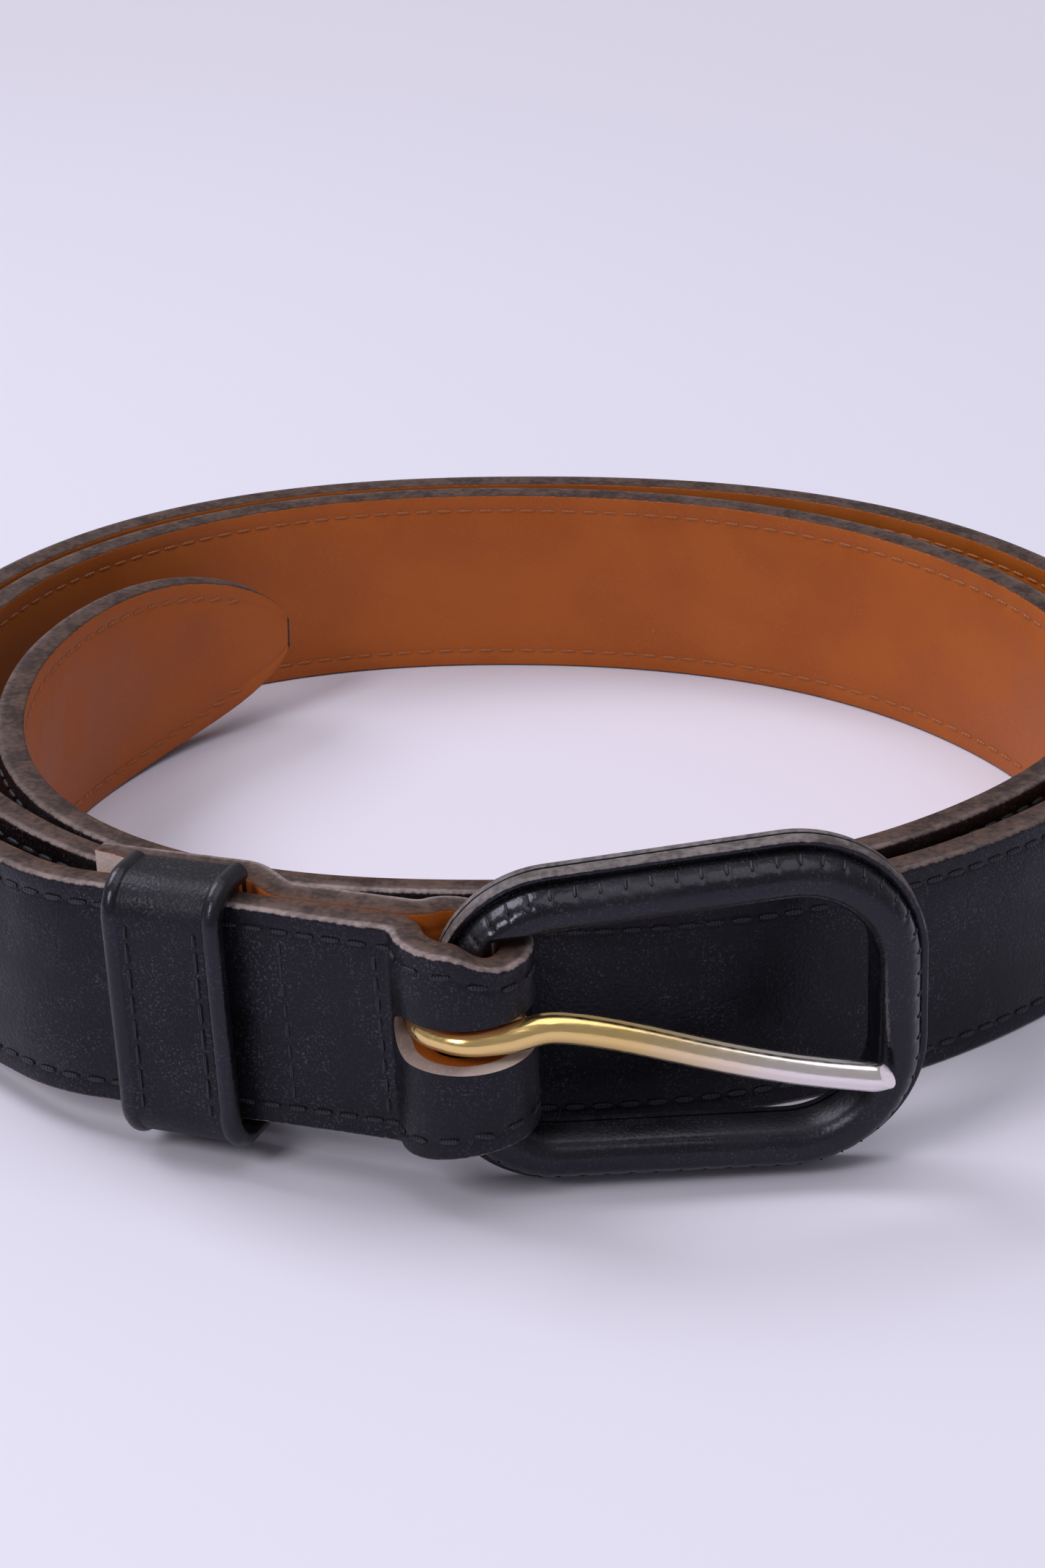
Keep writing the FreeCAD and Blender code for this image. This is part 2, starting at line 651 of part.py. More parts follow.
# ---------------------------------------------------------------- keeper
keeper_reach = sewn_end - size("keeper_offset") - size("keeper_width") / 2
keeper_centre, keeper_along, keeper_front, keeper_up = front_frame(keeper_reach)
keeper_place = matrix_of(keeper_centre, keeper_along, keeper_front * -1, keeper_up)
KEEPER_FRONT = "-(Dimensions.leather_thick + Dimensions.lining_thick + Dimensions.keeper_front_gap)"
KEEPER_BACK = "Dimensions.keeper_side_gap"
KEEPER_HALF = "Dimensions.strap_width / 2 + Dimensions.keeper_edge_gap"


def add_keeper_loop(label, inside, outside):
    """Flat band round the strap between two distances from the keeper's opening."""
    body = add_body(label, keeper_place)
    sketch = add_sketch(body, label + "_section", "YZ_Plane")
    for name, step in (("inner", inside), ("outer", outside)):
        add_outline(sketch, name, f"{KEEPER_FRONT} - ({step})", f"{KEEPER_BACK} + {step}",
                    f"{KEEPER_HALF} + {step}", "0", f"Dimensions.keeper_corner + {step}",
                    f"Dimensions.keeper_back_corner + {step}")
    add_pad(body, sketch, "Dimensions.keeper_width - 2 * Dimensions.rim_radius", both_sides=True)
    return body


keeper_loops = [
    add_keeper_loop("keeper_lining", "0", "Dimensions.keeper_lining"),
    add_keeper_loop("keeper_band", "Dimensions.keeper_lining",
                    "Dimensions.keeper_lining + Dimensions.keeper_leather"),
]
pieces += keeper_loops
doc.recompute()

keeper_wall = size("keeper_lining") + size("keeper_leather")
keeper_face = strap_thick + size("keeper_front_gap") + keeper_wall
keeper_top = half_width + size("keeper_edge_gap") + keeper_wall


def keeper_rims():
    """Rolled rims over both edges of the keeper: over the top, down the front and under."""
    radius = size("rim_radius")
    y = radius - size("rim_proud") - keeper_face
    z = keeper_top + size("rim_proud") - radius
    turn = size("keeper_corner") + keeper_wall + size("rim_proud") - radius
    middle = turn * (1 - math.sqrt(0.5))
    solids = []
    for side in (-1, 1):
        x = side * (size("keeper_width") / 2 - radius)
        upper = [Vector(x, size("keeper_side_gap"), z), Vector(x, y + turn, z),
                 Vector(x, y + middle, z - middle), Vector(x, y, z - turn)]
        lower = [Vector(v.x, v.y, -v.z) for v in reversed(upper)]
        path = Part.Wire([
            Part.makeLine(upper[0], upper[1]), Part.Arc(*upper[1:]).toShape(),
            Part.makeLine(upper[3], lower[0]), Part.Arc(*lower[:3]).toShape(),
            Part.makeLine(lower[2], lower[3])])
        section = Part.Wire(Part.makeCircle(radius, upper[0], Vector(0, 1, 0)))
        roll = path.makePipeShell([section], True, False)
        solids.append(roll.cut([loop.Tip.Shape for loop in keeper_loops]))
    return Part.makeCompound(solids)


pieces.append(add_feature("keeper_rims", keeper_rims(), keeper_place))


def keeper_stitching():
    """Upright rows of stitches on the keeper's face, beside each rim."""
    width, proud, length = size("thread_width"), size("thread_proud"), size("stitch_length")
    row = size("keeper_width") / 2 - 2 * size("rim_radius") - width
    count = int(2 * (keeper_top - keeper_wall - size("keeper_corner")) / size("stitch_pitch"))
    stitches = []
    for side in (-1, 1):
        for i in range(count):
            z = (i - (count - 1) / 2) * size("stitch_pitch")
            corner = Vector(side * row - width / 2, -keeper_face - proud, z - length / 2)
            stitches.append(Part.makeBox(width, proud, length, corner))
    return Part.makeCompound(stitches)


pieces.append(add_feature("keeper_stitching", keeper_stitching(), keeper_place))


# ---------------------------------------------------------------- buckle ring
ring_turn = Rotation(Vector(0, 0, 1), size("ring_swing"))
ring_place = bar_place.multiply(Placement(Vector(0, 0, -size("ring_drop")), ring_turn))
RING_NEAR = "-Dimensions.bar_inset"
RING_FAR = "Dimensions.ring_length - Dimensions.bar_inset"
RING_SLOPE = "atan((Dimensions.ring_end_height - Dimensions.ring_bar_height) / 2 / Dimensions.ring_length)"
RING_RISE = f"(Dimensions.ring_bar_height / 2 + Dimensions.bar_inset * tan({RING_SLOPE})) * cos({RING_SLOPE})"
RING_BACK = "(Dimensions.flange_setback + Dimensions.flange_thick)"


def add_ring_sketch(body, name, level, outer, inner):
    """Ring between two insets from the outer edge of the band, at a depth behind the hinge line."""
    sketch = add_sketch(body, name, "XZ_Plane", f"-({level})")
    for label, inset in (("outer", outer), ("inner", inner)):
        add_outline(sketch, label, f"{RING_NEAR} + {inset}", f"{RING_FAR} - ({inset})",
                    f"{RING_RISE} - ({inset})", RING_SLOPE,
                    f"Dimensions.ring_bar_corner - ({inset})", f"Dimensions.ring_end_corner - ({inset})")
    return sketch


def add_bar_relief(body):
    """Turn the stretch inside the fold down to a round bar."""
    sketch = add_sketch(body, body.Label + "_relief", "XZ_Plane")
    near, far = size("bar_radius"), fold_middle + half_thick + size("bar_clearance")
    half = size("bar_half_height")
    low, high = size("ring_drop") - half, size("ring_drop") + half
    corners = [Vector(near, low, 0), Vector(far, low, 0), Vector(far, high, 0), Vector(near, high, 0)]
    for one, two in zip(corners, corners[1:] + corners[:1]):
        sketch.addGeometry(Part.LineSegment(one, two), False)
    for i in range(4):
        sketch.addConstraint(Sketcher.Constraint("Coincident", i, 2, (i + 1) % 4, 1))
    for i in (0, 2):
        sketch.addConstraint(Sketcher.Constraint("Horizontal", i))
    for i in (1, 3):
        sketch.addConstraint(Sketcher.Constraint("Vertical", i))
    outside = ("Dimensions.bar_radius + 2 * Dimensions.bar_clearance"
               " + Dimensions.leather_thick + Dimensions.lining_thick")
    bound = [("near", Sketcher.Constraint("DistanceX", -1, 1, 0, 1, near), "Dimensions.bar_radius"),
             ("far", Sketcher.Constraint("DistanceX", -1, 1, 0, 2, far), outside),
             ("low", Sketcher.Constraint("DistanceY", 0, 1, -1, 1, -low), "Dimensions.bar_half_height - Dimensions.ring_drop"),
             ("high", Sketcher.Constraint("DistanceY", -1, 1, 2, 1, high), "Dimensions.bar_half_height + Dimensions.ring_drop")]
    for label, constraint, expression in bound:
        index = sketch.addConstraint(constraint)
        sketch.renameConstraint(index, label)
        sketch.setExpression(f"Constraints.{label}", expression)
    groove = body.newObject("PartDesign::Groove", body.Label + "_bar")
    groove.Profile = sketch
    groove.ReferenceAxis = (sketch, ["V_Axis"])
    groove.Angle = 360
    body.Tip = groove
    doc.recompute()
    return groove


def add_backing():
    body = add_body("buckle_backing", ring_place)
    level = f"{RING_BACK} + Dimensions.backing_thick"
    sketch = add_ring_sketch(body, "backing_outline", level, "0", "Dimensions.ring_band")
    add_pad(body, sketch, "Dimensions.backing_thick")
    add_bar_relief(body)
    return body


def add_core():
    body = add_body("buckle_core", ring_place)
    sketch = add_ring_sketch(body, "core_outline", RING_BACK, "Dimensions.core_inset",
                             "Dimensions.core_inset + Dimensions.core_width")
    add_pad(body, sketch, "Dimensions.core_depth")
    add_bar_relief(body)
    return body


def add_cover():
    """Sewn edge, rounded cover in front of it, and the channel that holds the metal ring."""
    body = add_body("buckle_cover", ring_place)
    edge = add_ring_sketch(body, "cover_edge", RING_BACK, "0", "Dimensions.ring_band")
    add_pad(body, edge, "Dimensions.flange_thick")
    dome = add_ring_sketch(body, "cover_dome", f"{RING_BACK} - Dimensions.flange_thick",
                           "Dimensions.flange_land", "Dimensions.ring_band")
    pad = add_pad(body, dome, "Dimensions.dome_height")
    doc.recompute()
    crest = size("flange_setback") - size("dome_height")
    names = []
    for i, edge_shape in enumerate(pad.Shape.Edges, start=1):
        box = edge_shape.BoundBox
        if abs(box.YMin - crest) < TOUCH and abs(box.YMax - crest) < TOUCH:
            names.append(f"Edge{i}")
    fillet = body.newObject("PartDesign::Fillet", "cover_rounding")
    fillet.Base = (pad, names)
    fillet.setExpression("Radius", "Dimensions.dome_rounding")
    body.Tip = fillet
    doc.recompute()
    channel = add_ring_sketch(body, "cover_channel", RING_BACK, "Dimensions.core_inset",
                              "Dimensions.core_inset + Dimensions.core_width")
    add_pocket(body, channel, "Dimensions.core_depth")
    add_bar_relief(body)
    return body


pieces += [add_backing(), add_core(), add_cover()]
doc.recompute()


def ring_stitching():
    """Stitches on the sewn edge, all round outside the fold."""
    inset = size("flange_land") / 2
    near = inset - size("bar_inset")
    far = size("ring_length") - size("bar_inset") - inset
    slope = math.atan((size("ring_end_height") - size("ring_bar_height")) / 2 / size("ring_length"))
    middle_rise = size("ring_bar_height") / 2 + size("bar_inset") * math.tan(slope)
    rise = middle_rise * math.cos(slope) - inset
    normal = Vector(-math.sin(slope), 0, math.cos(slope))
    corners = []
    for x, side, radius in ((near, -1, size("ring_bar_corner") - inset),
                            (far, 1, size("ring_end_corner") - inset)):
        centre_x = x - side * radius
        centre = Vector(centre_x, 0, (rise - radius - normal.x * centre_x) / normal.z)
        corners.append([centre + Vector(side * radius, 0, 0),
                        centre + Vector(side, 0, 1).normalize() * radius,
                        centre + normal * radius])
    first, second = corners
    line = Part.Wire([Part.Arc(*first).toShape(), Part.makeLine(first[2], second[2]),
                      Part.Arc(*reversed(second)).toShape(),
                      Part.makeLine(second[0], Vector(far, 0, 0))])
    count = int(line.Length / size("stitch_pitch"))
    points = line.discretize(Number=2 * count + 1)
    clear = half_width + size("ring_drop")
    stitches = []
    for before, place, after in zip(points[0::2], points[1::2], points[2::2]):
        if place.z < clear and place.x < fold_middle + strap_thick:
            continue
        for side in (1, -1):
            middle = Vector(place.x, size("flange_setback"), side * place.z)
            along = Vector(after.x - before.x, 0, side * (after.z - before.z)).normalize()
            stitch = Part.makeBox(size("stitch_length"), size("thread_proud"), size("thread_width"),
                                  Vector(-size("stitch_length") / 2, -size("thread_proud"),
                                         -size("thread_width") / 2))
            stitch.Placement = matrix_of(middle, along, Vector(0, 1, 0), Vector(-along.z, 0, along.x))
            stitches.append(stitch)
    return Part.makeCompound(stitches)


pieces.append(add_feature("buckle_stitching", ring_stitching(), ring_place))


# ---------------------------------------------------------------- prong
def add_prong():
    """Bent rod on an eye about the bar: straight lengths joined by balls, with a chamfered tip."""
    rod = size("prong_diameter") / 2
    level = size("prong_level")
    front = size("bar_radius") + size("bar_clearance") / 2 + rod
    crest = size("dome_height") - size("flange_setback") + size("tip_clearance") + rod
    points = [Vector(0, -front, level),
              Vector(size("prong_neck"), -front, level + size("prong_neck_rise")),
              Vector(size("prong_elbow"), 0, level - size("prong_elbow_drop")),
              Vector(size("prong_reach"), 0, level - size("prong_tip_drop"))]
    for point in points[2:]:
        share = (point.x - points[1].x) / (points[3].x - points[1].x)
        point.y = -(front * (1 - share) + crest * share)
    eye = doc.addObject("Part::Torus", "prong_eye")
    eye.setExpression("Radius1", "Dimensions.bar_radius + Dimensions.bar_clearance + Dimensions.eye_rod / 2")
    eye.setExpression("Radius2", "Dimensions.eye_rod / 2")
    eye.Placement = Placement(Vector(0, 0, level), Rotation())
    members = [eye]
    for i, point in enumerate(points[:-1]):
        ball = doc.addObject("Part::Sphere", f"prong_ball_{i + 1}")
        ball.setExpression("Radius", "Dimensions.prong_diameter / 2")
        ball.Placement = Placement(point, Rotation())
        members.append(ball)
    for i, (one, two) in enumerate(zip(points, points[1:])):
        length = doc.addObject("Part::Cylinder", f"prong_length_{i + 1}")
        length.setExpression("Radius", "Dimensions.prong_diameter / 2")
        length.Height = (two - one).Length
        length.Placement = Placement(one, Rotation(Vector(0, 0, 1), two - one))
        members.append(length)
    whole = doc.addObject("Part::MultiFuse", "prong_blank")
    whole.Shapes = members
    doc.recompute()
    tip = points[-1]
    names = []
    for i, edge in enumerate(whole.Shape.Edges, start=1):
        if all((v.Point - tip).Length < rod + TOUCH for v in edge.Vertexes) and edge.Length > rod:
            names.append((i, size("tip_chamfer"), size("tip_chamfer_face")))
    chamfer = doc.addObject("Part::Chamfer", "prong")
    chamfer.Label = "prong"
    chamfer.Base = whole
    chamfer.Edges = names
    chamfer.Placement = ring_place.multiply(Placement(Vector(0, 0, size("ring_drop")), Rotation()))
    return chamfer


pieces.append(add_prong())
doc.recompute()

# ---------------------------------------------------------------- checks and files
for item in doc.Objects:
    if any(word in item.State for word in ("Invalid", "Error")):
        raise RuntimeError(f"{item.Name} failed: {item.State}")
for piece in pieces:
    if piece.Shape.isNull() or not piece.Shape.isValid():
        raise RuntimeError(f"{piece.Label} has no valid shape")
os.makedirs("parts", exist_ok=True)
for piece in pieces:
    piece.Shape.exportStep(os.path.join("parts", piece.Label + ".step"))

whole = Part.makeCompound([piece.Shape for piece in pieces])
box = whole.optimalBoundingBox()
print("pieces", len(pieces), "volume", round(whole.Volume))
for piece in pieces:
    b = piece.Shape.BoundBox
    print(piece.Label, len(piece.Shape.Solids), round(piece.Shape.Volume, 1),
          [round(v, 1) for v in (b.XMin, b.XMax, b.YMin, b.YMax, b.ZMin, b.ZMax)])
print("box", [round(v, 2) for v in (box.XMin, box.XMax, box.YMin, box.YMax, box.ZMin, box.ZMax)])
print("hinge", bar_centre, bar_up, "keeper", keeper_along)
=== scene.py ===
import bpy
import numpy as np
from math import cos, pi, radians, sin, sqrt
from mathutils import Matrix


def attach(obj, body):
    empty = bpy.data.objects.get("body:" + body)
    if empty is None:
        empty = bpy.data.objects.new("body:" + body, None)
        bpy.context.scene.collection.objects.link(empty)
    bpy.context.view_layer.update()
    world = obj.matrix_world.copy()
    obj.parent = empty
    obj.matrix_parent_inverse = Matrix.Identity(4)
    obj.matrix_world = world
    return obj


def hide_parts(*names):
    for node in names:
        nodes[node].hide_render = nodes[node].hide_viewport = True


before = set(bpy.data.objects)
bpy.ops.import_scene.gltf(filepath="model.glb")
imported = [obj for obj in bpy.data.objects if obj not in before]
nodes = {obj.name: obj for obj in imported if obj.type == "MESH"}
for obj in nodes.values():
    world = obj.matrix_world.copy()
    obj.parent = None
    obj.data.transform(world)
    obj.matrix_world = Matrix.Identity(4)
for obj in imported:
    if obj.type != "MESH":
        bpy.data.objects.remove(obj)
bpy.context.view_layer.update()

# Lengths are millimetres until a mesh is made; every mesh is then in metres, in the frame of the solids.
MM = 0.001

# ---------------------------------------------------------------- sizes of the belt
# strap
HALF_WIDTH = 13.0
LEATHER = 1.9                           # black outer leather
LINING = 1.6                            # tan lining
THICK = LEATHER + LINING
BETWEEN = LINING - THICK / 2            # where the two leathers meet, from the middle of the strap
EDGE_LIGHT_DEPTH = 0.95                       # from the face, down the cut edge, where its painted light has faded to little
EDGE_FADE = 1.2                         # from the edge, in along the face, where the edge's colour is gone
FULL_SECTION = 7.5                      # half width above which a section's distances aren't scaled
# front stretch, from the hinge bar to the bend behind the keeper; angles in degrees
BAR_CENTRE = np.array([-7.2, -75.45, 19.6])
BAR_RISE = 0.8
BAR_LEAN = 3.9
FRONT_YAW = 22.0
FRONT_RISE = 3.0
FRONT_REACH = 43.0
LIFT_DECAY = 150.0                      # strap length over which the stretch comes down to the table
# fold about the bar
FOLD_MIDDLE = 5.75                      # bar's middle to the strap's middle
FOLD_EASE = 3.2                         # radius at the neck
FOLD_NIP = 2.45                         # narrowing of each edge
FRONT_NIP = (0.8, 5.75)                 # from the bar: upper edge starts and ends narrowing, in front
# turn-back behind the front stretch, sewn to it in a box beside the fold
TURN_BACK_REACH = 45.0
TURN_BACK_SPREAD = 3.7
TURN_BACK_EASE = 7.5
BOX_LENGTH = 12.4
BOX_ROW_HALF = 8.6                      # half the height of the upright rows of stitches
BOX_ROW_PITCH = 2.45
BOX_ROW_INSET = 0.7                     # from the ends of the box
BOX_STITCH_DEPTH = 0.03
SKIVE_LENGTH = 4.5                      # pared raw end
SKIVE_DEPTH = 1.0
# slot for the prong
SLOT_HEIGHT = 5.3
SLOT_LEVEL = 1.8
SLOT_REACH = 6.3
SLOT_CUT = 12.0                         # half the depth of the cut through the fold
# coil, by places an eighth of a turn apart; the gaps are clear of the strap one turn further out
BEND_RADIUS = 22.0
BEND_TURN = 25.0
COIL_CENTRE = np.array([0.2, 9.15])
TURN_PLACES = 8
PLACE_STEP = 360 / TURN_PLACES
FIRST_PLACE = 225.0
COIL_RADII = [79.1, 77.7, 72.5, 77.8, 78.8, 70.7, 68.2]
COIL_GAPS = np.array([9.0, 0.4, 1.2, 1.6, 5.0, 4.1, 2.9, 2.3, 0.5, 8.1, 10.0])
TAIL_ANGLE = 9.0                        # free end beyond the last place
TAIL_TAPER = 40.0
TAIL_FLAT = 0.4
TAIL_ROUNDNESS = 2.4
# prong holes
HOLE_RADIUS = 2.25
HOLE_COUNT = 5
HOLE_PITCH = 25.0
HOLE_FROM_TIP = 95.0
# stitches
EDGE_ROW = 2.35                         # middle of the edge stitching, from the edge
EDGE_ROW_START = 6.0                    # into the fold, from the turn-back
EDGE_ROW_END = 0.6                      # share of the full width where the rows stop, at the free end
STITCH_PITCH = 3.0
RING_PITCH = 2.65                       # puckers and stitches of the ring
RING_STITCH_INSET = 1.4                 # from the outer edge
RING_STITCH_DEPTH = -1.35               # behind the hinge line; less than 0 is in front
RING_STITCH_LEAN = (0.33, 0.12)         # outward and along the edge, for each unit backward
PUCKER_DEPTH = 0.3
PUCKER_INSET = 1.45
PUCKER_REACH = 0.5
PUCKER_SHARE = 0.13                     # of the pitch
# buckle ring
RING_LENGTH = 52.5
RING_BAR_HEIGHT = 35.5
RING_END_HEIGHT = 41.5
RING_CORNERS = (13.0, 14.8)
RING_BAND = 6.0
BAR_INSET = 3.2
RING_SWING = 29.0
RING_DROP = 1.0
FLANGE_FACE = 0.1                       # depth behind the hinge line
FLANGE_BACK = 2.0
FLANGE_LAND = 1.1                       # sewn edge outside the dome
DOME_HEIGHT = 3.2
DOME_POWER = 2.3
BACKING = 1.1
BAR_HALF_HEIGHT = 11.9
BAR_RADIUS = 3.6
BAR_SIDE = 8.0                          # the ring's side at the bar lies short of this reach
DRAW_EASE = 1.2                         # height over which its leathers are drawn in to the bar
DRAW_DEPTH = 0.08                       # inside the bar's surface
# prong
PRONG_RADIUS = 1.65
EYE_RADIUS = 1.3
PRONG_LEVEL = 1.8
EYE_CLEARANCE = 0.08
ARM_CLEARANCE = 0.2                     # to the bar, in front
REST_CLEARANCE = 0.25                   # to the ring's dome, at the tip
REST_START = 8.0                        # reach where the arm starts to slant towards its rest on the dome
REST_LENGTH = 37.2
TIP_TAPER = 3.6                         # length over which the rod thins to half at the tip
FACET_SETBACK = 1.6                     # tip to where the slanting cut meets the middle of the rod
FACET_STATIONS = 30
WRAP_ANGLES = (-22.0, 262.0)            # of the wire round the bar, from straight along, in degrees
ARM_START = 1.28 * pi                   # angle where the wire starts to ease out to the arm's clearance
ARM_TURN = 0.22 * pi
ROD_START = 22.0                        # wire length where the radius starts to ease to the rod's
ROD_EASE = 10.0
# keeper
KEEPER_STITCH_GAP = 0.4                 # least gap between two of the frame's stitches


# ---------------------------------------------------------------- vectors and curves
def unit(v):
    return v / np.linalg.norm(v, axis=-1, keepdims=True)


def ease(share):
    """3s^2 - 2s^3, held between 0 and 1."""
    share = np.clip(share, 0, 1)
    return share * share * (3 - 2 * share)


def runs_of(points):
    """Distance along a line of points."""
    return np.concatenate([[0.0], np.cumsum(np.linalg.norm(np.diff(points, axis=0), axis=1))])


def on_line(at, run, values, period=None):
    """Values along a line, read at distances along it."""
    return np.stack([np.interp(at, run, column, period=period) for column in values.T], 1)


def square_to(vectors, axes):
    """Unit vectors with their share along the axes taken out."""
    return unit(vectors - axes * np.einsum("ij,ij->i", vectors, axes)[:, None])


def spline(knots, points, first_slope, last_slope, at):
    """Clamped cubic spline: the slopes at the knots solve the usual three-term rows, and each span is
    a Hermite cubic of its two ends and slopes.  Gives places and slopes."""
    step = np.diff(knots)
    count = len(knots)
    rows = np.zeros((count, count))
    right = np.zeros((count, points.shape[1]))
    rows[0, 0] = rows[-1, -1] = 1
    right[0], right[-1] = first_slope, last_slope
    i = np.arange(1, count - 1)
    rows[i, i - 1] = 1 / step[:-1]
    rows[i, i + 1] = 1 / step[1:]
    rows[i, i] = 2 * (1 / step[:-1] + 1 / step[1:])
    secant = np.diff(points, axis=0) / step[:, None] ** 2
    right[1:-1] = 3 * (secant[:-1] + secant[1:])
    slopes = np.linalg.solve(rows, right)
    k = np.clip(np.searchsorted(knots, at, side="right") - 1, 0, count - 2)
    h = step[k][:, None]
    s = ((at - knots[k]) / step[k])[:, None]
    a, b, c, d = points[k], slopes[k] * h, points[k + 1], slopes[k + 1] * h
    place = (a * (2 * s**3 - 3 * s**2 + 1) + b * (s**3 - 2 * s**2 + s)
             + c * (3 * s**2 - 2 * s**3) + d * (s**3 - s**2))
    slope = (a * (6 * s**2 - 6 * s) + b * (3 * s**2 - 4 * s + 1)
             + c * (6 * s - 6 * s**2) + d * (3 * s**2 - 2 * s)) / h
    return place, slope


def directions(yaw, rise, lean):
    """Along, front and up for a stretch turned, raised and leaned, in degrees."""
    yaw, rise, lean = np.radians((yaw, rise, lean))
    along = np.array([cos(yaw) * cos(rise), -sin(yaw) * cos(rise), sin(rise)])
    upright = np.array([-sin(rise) * cos(yaw), sin(rise) * sin(yaw), cos(rise)])
    front = np.cross(along, upright)
    up = upright * cos(lean) + front * sin(lean)
    return along, np.cross(along, up), up


# ---------------------------------------------------------------- the strap's path
bar_along, bar_front, bar_up = directions(FRONT_YAW, BAR_RISE, BAR_LEAN)
run_axes = directions(FRONT_YAW, FRONT_RISE, 0.0)
run_along, run_front, run_up = run_axes
neck_level = THICK / 2 + FOLD_EASE
neck_reach = sqrt((FOLD_MIDDLE + FOLD_EASE) ** 2 - neck_level**2)
neck_angle = np.arctan2(neck_level, -neck_reach)
sewn_start = -neck_reach
sewn_end = sewn_start - BOX_LENGTH
neck_centre = BAR_CENTRE + bar_along * sewn_start


def front_frame(reach):
    """Middle, front and up of the front stretch: its up turns smoothly from the bar's to upright."""
    reach = np.asarray(reach, float)
    share = ease((sewn_start - reach) / (FRONT_REACH + sewn_start))[..., None]
    front = unit(np.cross(run_along, bar_up * (1 - share) + run_up * share))
    return neck_centre + run_along * (reach - sewn_start)[..., None], front, np.cross(front, run_along)


def turn_back():
    """Behind the front stretch, standing off it by an eased step beyond the sewn box."""
    reach = np.linspace(-TURN_BACK_REACH, sewn_start, 60)[:-1]
    centre, front, up = front_frame(reach)
    share = np.clip((sewn_end - reach) / TURN_BACK_EASE, 0, 1)
    level = -THICK / 2 - TURN_BACK_SPREAD * ease(share)
    slope = TURN_BACK_SPREAD * 6 * share * (1 - share) / TURN_BACK_EASE
    heading = unit(run_along + front * slope[:, None])
    return centre + front * level[:, None], up, -np.cross(heading, up), np.full(len(reach), HALF_WIDTH)


def fold():
    """An easing arc, the wrap about the bar, and the easing arc back, narrowing towards the bar."""
    turn = np.linspace(0, neck_angle - pi / 2, 12)
    wrap = np.linspace(-neck_angle, neck_angle, 70)[1:-1]
    along = np.concatenate([-neck_reach + FOLD_EASE * np.sin(turn), FOLD_MIDDLE * np.cos(wrap),
                            (-neck_reach + FOLD_EASE * np.sin(turn))[::-1]])
    front = np.concatenate([-neck_level + FOLD_EASE * np.cos(turn), FOLD_MIDDLE * np.sin(wrap),
                            (neck_level - FOLD_EASE * np.cos(turn))[::-1]])
    out_along = np.concatenate([-np.sin(turn), np.cos(wrap), -np.sin(turn)[::-1]])
    out_front = np.concatenate([-np.cos(turn), np.sin(wrap), np.cos(turn)[::-1]])
    lower = HALF_WIDTH - FOLD_NIP * ease((along + neck_reach) / (FOLD_MIDDLE + neck_reach))
    start, end = FRONT_NIP
    upper = np.where(front > 0, HALF_WIDTH - FOLD_NIP * ease((along - start) / (end - start)), lower)
    middle = (BAR_CENTRE + np.outer(along, bar_along) + np.outer(front, bar_front)
              + np.outer((upper - lower) / 2, bar_up))
    outward = np.outer(out_along, bar_along) + np.outer(out_front, bar_front)
    return middle, np.tile(bar_up, (len(along), 1)), outward, (upper + lower) / 2


def front_run():
    """In front of the turn-back, from the fold to the bend behind the keeper."""
    reach = np.linspace(sewn_start, -FRONT_REACH, 60)[1:]
    centre, front, up = front_frame(reach)
    return centre + front * THICK / 2, up, front, np.full(len(reach), HALF_WIDTH)


def between_places(values, place):
    """Cubic between neighbours, each slope half the difference of the neighbours on both sides."""
    last = len(values) - 1
    k = np.minimum(place.astype(int), last - 1)
    share = place - k
    near = (values[k + 1] - values[np.maximum(k - 1, 0)]) / 2
    far = (values[np.minimum(k + 2, last)] - values[k]) / 2
    return (values[k] + (values[k + 1] - values[k]) * ease(share) + near * share * (1 - share) ** 2
            - far * share**2 * (1 - share))


def coil_radius(radii, place):
    """Radius at a place, kept inside the turn before it by the smaller gap near by."""
    radius = between_places(radii, place)
    inner = place >= TURN_PLACES
    if inner.any():
        k = place[inner].astype(int) - TURN_PLACES
        gap = np.minimum(COIL_GAPS[k], COIL_GAPS[np.minimum(k + 1, len(COIL_GAPS) - 1)])
        outside = coil_radius(radii, place[inner] - TURN_PLACES)
        radius[inner] = np.minimum(radius[inner], outside - THICK - gap)
    return radius


